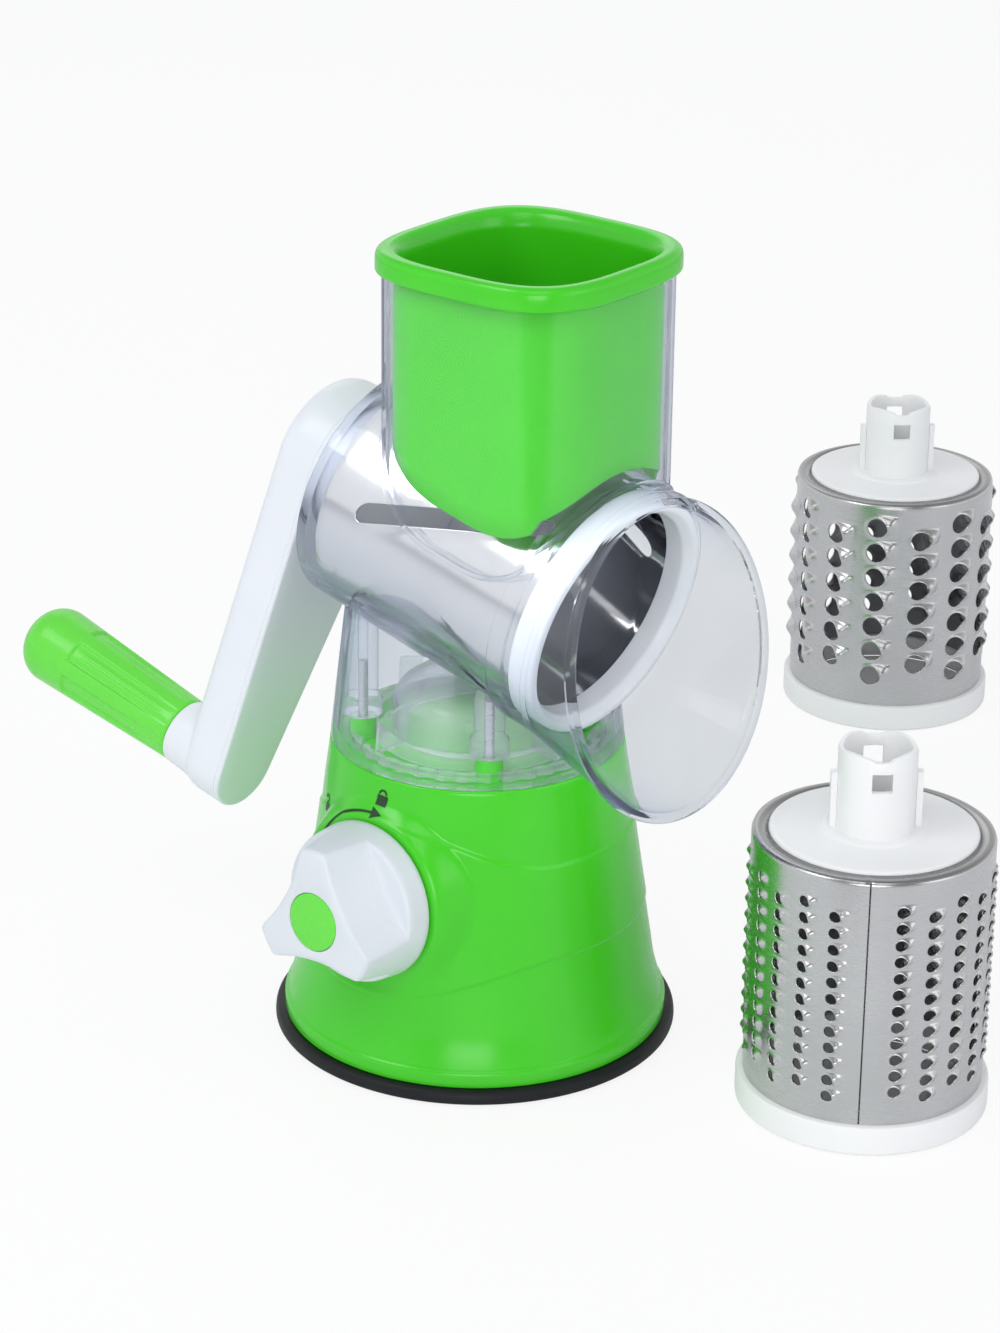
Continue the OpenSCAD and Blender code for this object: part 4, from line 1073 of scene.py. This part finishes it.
def slicing_sheet():
    """Three slanted tiles: x shifts by slope times the distance along the drum."""
    slope, mid = -math.tan(math.radians(23.5)), 9.5
    slot, border = (all_round(q) for q in quarter(20, 14))
    centre = (HIGH + LOW) / 2
    share = [0, 0.012, 0.03, 0.055, 0.09, 0.14, 0.2, 0.3, 0.42, 0.56, 0.7, 0.85, 1.0]
    share = np.array(share)[:, None, None]
    flat = (slot + [0, mid]) * (1 - share) + (border + [0, centre]) * share
    off = np.abs(flat[..., 0]) - SLOT_HALF
    near = np.exp(-((off / 1.8) ** 2)) * (1 - smoothstep(np.abs(flat[..., 1] - mid), 26.0, 31.0))
    lift = near * np.where(flat[..., 0] > 0, 0.35, -0.2) * (1 - smoothstep(share[..., 0], 0.5, 1.0))
    stock = Stock()
    starts = [math.radians(146.2 + 120 * k) * SHEET_R for k in range(3)]
    for x0 in starts:
        x = x0 + flat[..., 0] + slope * (flat[..., 1] - mid)
        stock.add(barrel(roll_up(x, flat[..., 1], lift)[:, ::-1]))
    low_edge = border[np.abs(border[:, 1] + (HIGH - LOW) / 2) < 1e-6]
    low_edge = low_edge[np.argsort(low_edge[:, 0])][:-1, 0]
    x = np.concatenate([x0 + low_edge + slope * (LOW - mid) for x0 in starts])
    return turned_lip(stock, barrel, roll_up(x, LOW, 0 * x))


finish_sheet(slicing_sheet(), "slicing_drum_skin", steel_slicing, "slicing_drum")

# %% [markdown]
# The other parts of a drum are turned: a white ring at the open end with a chamfered mouth, and
# a white hub whose stem has two windows, two wings and a wavy end. The stem is a grid of angle
# and height whose top edge is a wave, and the windows are cut with a boolean.


# %% Rings and hubs
def drum_ring(name, place, body, finish):
    """A turned ring with a chamfered mouth."""
    prof = rounded(
        [(36.0, 48.3), (41.0, 48.3), (41.0, RING_TOP), (38.3, RING_TOP), (36.0, 55.2)],
        [0.4, 1.0, 1.4, 0.8, 1.0])
    thing = Stock().add(place(spin(prof, 160)), close_rows=True).object(name, finish)
    dress(thing, body, "plastic_pale", body + "_ring")


def drum_hub(name, place, body, finish):
    """A plate with a rounded step, and the tube of the stem with its wavy end."""
    plate = rounded(
        [(0, -33.2), (37.9, -33.2), (37.9, -35.7), (33.5, -35.7), (33.4, -37.0), (32.6, -37.6),
         (17, -37.6), (16, -38.4), (0, -38.4)],
        [0, 0.3, 0.3, 0.3, 0.5, 0.8, 1.2, 0.5, 0], closed=False)
    stock = Stock().add(place(spin(plate, 128)))
    a = turns(144)
    waves = 0.5 + 0.5 * np.cos(4 * a) + 0.7 * smoothstep(np.cos(2 * a + math.pi), 0.80, 0.93)
    end = -66.2 + waves
    outer = [(10.6, 0.0)] + [(12.6, u) for u in (0.0, 0.25, 0.5, 0.75, 0.97)]
    shares = outer + [(12.3, 1.0), (10.9, 1.0), (10.6, 0.97), (10.6, 0.5)]
    rows = [around(r, a, -38.0 + (end + 38.0) * u) for r, u in shares]
    stem = Stock().add(place(np.array(rows)), close_rows=True).object(name, finish)
    box_rows = lambda w, d, lo, hi: np.array(
        [[(w * k * x, d * k * y, z) for x, y in ((-1, -1), (1, -1), (1, 1), (-1, 1))]
         for z, k in ((lo, 0), (lo, 1), (hi, 1), (hi, 0))], float)
    combine(stem, solid(place(box_rows(3.25, 20, -61.0, -54.5)), "window"), "DIFFERENCE")
    for side in (-1, 1):
        wing = box_rows(1.0, 1.5, -57, -38) + np.array([side * 13.6, 0, 0])
        combine(stem, solid(place(wing), "wing"), "UNION")
    combine(stem, stock.object(name + "_plate", finish), "UNION")
    polish(stem, finish, 35)
    dress(stem, body, "plastic_pale", body + "_hub")


def spare_hub(place, degrees=49.0):
    """A spare drum's hub is turned so that a window faces the way the photograph shows it."""
    return place.turned(math.radians(degrees))


for drum, place, hub_place, finish in (
    ("slicing_drum", crank, crank, pale),
    ("coarse_drum", coarse_place, spare_hub(coarse_place), white),
    ("fine_drum", fine_place, spare_hub(fine_place), white),
):
    drum_ring(drum + "_ring_moulding", place, drum, finish)
    drum_hub(drum + "_hub_moulding", hub_place, drum, finish)

# %% [markdown]
# The crank arm's outline is two circles and the lines that touch both. Shrinking the outline
# while moving along the arm's thickness gives the rounded back, and shrinking it right down to
# the line between the circles' centres closes the faces.


# %% Crank arm
ARM_REACH = 115.3


def arm_outline(inset, reach=ARM_REACH, r_hub=25.2, r_end=13.6):
    """Two round ends and their tangents; an inset past a radius stops on its centre."""
    lean = math.asin((r_hub - r_end) / reach)
    a = np.linspace(-lean, math.pi + lean, 72)
    b = np.linspace(math.pi + lean, 2 * math.pi - lean, 48)
    r1, r2 = max(r_hub - inset, 0.0), max(r_end - inset, 0.0)
    top = np.stack([r1 * np.cos(a), r1 * np.sin(a)], -1)
    end = np.stack([r2 * np.cos(b), r2 * np.sin(b) - reach], -1)
    left = top[-1] + (end[0] - top[-1]) * np.linspace(0, 1, 26)[1:-1, None]
    right_side = end[-1] + (top[0] - end[-1]) * np.linspace(0, 1, 26)[1:-1, None]
    return np.concatenate([top, left, end, right_side])


def arm_grid(levels):
    """One outline for each (inset, distance along the crank's axis)."""
    return np.array([at_height(arm_outline(inset), s) for inset, s in levels])


arm_levels = [(30, -69.3), (12, -69.3), (6, -69.3), (3.6, -69.25)]
for t in np.linspace(0, math.pi / 2, 9):
    arm_levels.append((3.1 * (1 - math.sin(t)), -62.5 - 6.7 * math.cos(t)))
arm_levels += [(0, -60), (0, -56.0), (0, -53.5), (0.25, -53.3), (0.25, -53.1), (0, -52.9), (0, -52.2)]
arm_levels += [(0.3, -51.7), (0.8, -51.5), (6, -51.5), (12, -51.5), (30, -51.5)]
arm_stock = Stock().add(crank(arm_grid(arm_levels)))
sleeve = rounded([(14.8, -60), (19, -60), (19, -37.1), (14.8, -37.1)], 0.4)
arm_stock.add(crank(spin(sleeve, 96)), close_rows=True)
stub = [(0, -66), (12.6, -66), (11.9, -72), (11.6, -79.8), (0, -79.8)]
stub = rounded(stub, [0, 1, 2, 0.8, 0], closed=False)
arm_stock.add(crank(spin(stub, 96) + np.array([0, -ARM_REACH, 0])))
arm = arm_stock.object("crank_arm_moulding", pale, crisp=40)
dress(arm, "crank", "plastic_pale", "crank_arm", "crank_arm_cover")

# %% [markdown]
# The grip is a tapered handle with long shallow panels for the fingers. Its radius depends on
# the distance along it and on the angle: the taper, minus a panel with soft edges, and a round
# nose at the end. A panel ends in a square step towards the nose and runs out at the root.


# %% Grip
def grip_grid(length=73.0, root=11.4, end=13.7, nose=11.0):
    """Radius: a straight taper, less a panel 0.95 mm deep, plus two thin ribs in the panel."""
    a = turns(288)[None, :]
    straight = length - nose
    fine = straight - 13.0 + np.linspace(-2.5, 1.0, 12)
    u = np.concatenate([[0.0, 0.4, 0.9], np.linspace(1.5, straight, 60), fine])
    u = np.unique(u)[:, None]
    r = root + (end - root) * u / straight
    turn = (a / (2 * np.pi) * 6) % 1
    off = np.abs(turn - 0.5) * 2
    panel = (1 - smoothstep(off, 0.50, 0.66)) * (1 - smoothstep(u, straight - 14.6, straight - 13.6))
    rib = np.exp(-(((off - 0.16) / 0.09) ** 2)) * smoothstep(u, 2, 8)
    rib = rib * (1 - smoothstep(u, straight - 20, straight - 15))
    fade = 0.25 + 0.75 * smoothstep(u, 0, 26)
    r = r - 0.95 * panel * fade + 0.25 * rib - 0.7 * (u < 0.1) - 0.2 * ((u > 0.1) & (u < 0.6))
    side = around(r, a, u)
    t = np.linspace(0, math.pi / 2, 16)[1:, None]
    cap_r, cap_u = end * np.cos(t) ** 0.9, straight + nose * np.sin(t)
    hole = [around(hole_r, a, hole_u) for hole_r, hole_u in ((0.0, 12.0), (5.1, 12.0), (5.1, 0.0))]
    return np.concatenate([*hole, side, around(cap_r, a, cap_u)])


grip_place = crank.turned(0, (0, -ARM_REACH, -80.1))
flip = Place(grip_place.axes[0], -grip_place.axes[1], -grip_place.axes[2], grip_place.origin)
grip = Stock().add(flip(grip_grid())).object("grip_moulding", lime, crisp=50)
dress(grip, "grip", "plastic_green", "crank_grip")

# %% [markdown]
# The remaining pieces are small or hidden, and their CAD shapes are right as they are. They
# stay, and each gets the finish of its stock.

# %% Finishes for the CAD pieces that stay
kept = {
    "lift_stem": pale, "cam_shaft": pale, "rear_bush": pale, "drive_plug": pale, "grip_axle": pale,
    "lift_spring": steel_small, "knob_screw": steel_small, "housing_screws": steel_small,
    "drive_plug_screw": steel_small, "grip_axle_screw": steel_small,
}
for node, finish in kept.items():
    for place_in_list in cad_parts[node].material_slots:
        place_in_list.material = finish
print("kept:", ", ".join(kept))

# %% [markdown]
# The floor is a wide pale sheet that keeps the object's shadow. The white background comes from
# the world's own colour, for the rays that the camera and clear plastic send out. Mirrors see a
# sky that is white at the horizon, grey overhead and darker behind the camera, because gloss
# shows a shape only when it has something dark to reflect. The light on the object comes from a
# dim even sky and five large soft lamps.


# %% Floor, background and light
FLOOR, PAPER, SHADE_R = -0.4, 9000, 39.0  # height, half width, and the dark disc under a drum


def floor_and_world():
    """The paper that glows for the camera, and a sky that differs with the kind of ray."""
    f = Finish("floor_paper", (0.95, 0.95, 0.95), 0.6)
    glow = f.add("Emission", {"Color": (1, 1, 1, 1), "Strength": 1.0})
    path = f.add("LightPath", out="Is Camera Ray")
    f.set("Base Color", f.blend(f.noise(300.0, 2.0), (0.93, 0.93, 0.93), (0.95, 0.95, 0.95)))
    open_floor = 1.0
    for drum in (coarse_place, fine_place):
        off = f.vector("DISTANCE", f.place, (*(drum.origin[:2] * MM), FLOOR * MM))
        open_floor = (off > SHADE_R * MM) * open_floor
    # Seen by glossy rays, a wedge of the floor towards the camera is a dark sheet: a painted dark
    # reflection for metal and gloss.
    toward, across = -Vector((*forward[:2], 0)).normalized(), Vector((*right[:2], 0)).normalized()
    side = f.add("Math", {0: f.vector("DOT_PRODUCT", f.place, across)}, operation="ABSOLUTE")
    shade = f.ramp(f.vector("DOT_PRODUCT", f.place, toward) - side * 1.2, (0.2, 0.0), (0.5, 0.85))
    dark = f.add("BsdfDiffuse", {"Color": (0.04, 0.04, 0.04, 1)})
    gloss = f.add("LightPath", out="Is Glossy Ray")
    f.surface(f.mix(path * open_floor * 0.86, f.mix(shade * gloss, f.base, dark), glow))
    corners = [[(x, y, FLOOR) for x in (-PAPER, PAPER)] for y in (-PAPER, PAPER)]
    sheet = Stock().add(np.array(corners, float), close_cols=False)
    sheet.object("floor", f.material, outward=False)
    world = bpy.data.worlds.new("studio")
    bpy.context.scene.world = world
    world.use_nodes = True
    sky = Wiring(world.node_tree)
    dim = sky.add("Background", {"Color": (0.93, 0.96, 1.0, 1), "Strength": 0.62})
    plain = sky.add("Background", {"Color": (1, 1, 1, 1)})
    way = sky.add("TexCoord", out="Generated")
    height = sky.add("SeparateXYZ", {0: way}, out="Z")
    grey = sky.ramp(height, (0.0, 1.0), (0.25, 0.95), (0.6, 0.5), (1.0, 0.4))
    near = sky.vector("DOT_PRODUCT", way, tuple(-forward))
    room = sky.ramp(near, (0.0, 1.0), (0.62, 1.0), (0.86, 0.35), (1.0, 0.3))
    mirror = sky.add("Background", {"Color": grey, "Strength": room})
    ray = lambda kind: sky.add("LightPath", out=kind)
    seen = {0: ray("Is Camera Ray"), 1: ray("Is Transmission Ray")}
    seen = sky.add("Math", seen, operation="MAXIMUM")
    every = sky.mix(seen, sky.mix(ray("Is Glossy Ray"), dim, mirror), plain)
    sky.tree.links.new(every.socket, sky.tree.nodes["World Output"].inputs["Surface"])


def lamp(name, at, aim, size, watts):
    """A square soft lamp that stands at one point and faces another."""
    light = bpy.data.lights.new(name, "AREA")
    light.shape, light.size, light.energy = "SQUARE", size, watts
    thing = bpy.data.objects.new(name, light)
    thing.location = at
    thing.rotation_euler = (Vector(aim) - Vector(at)).to_track_quat("-Z", "Y").to_euler()
    bpy.context.scene.collection.objects.link(thing)


floor_and_world()
lamp("key", (-0.75, -0.6, 1.5), (0, 0, 0.14), 0.9, 3.6)
lamp("streak", (-1.0, 0.45, 1.35), (0, 0, 0.16), 0.7, 5.6)
lamp("left", (-1.2, -0.9, 0.35), (0, 0, 0.14), 0.7, 4.6)
lamp("front", (0.2, -1.5, 0.8), (0.05, 0, 0.12), 0.8, 1.9)
lamp("back", (0.9, 1.0, 1.1), (0, 0, 0.14), 0.8, 1.8)
print("light set")
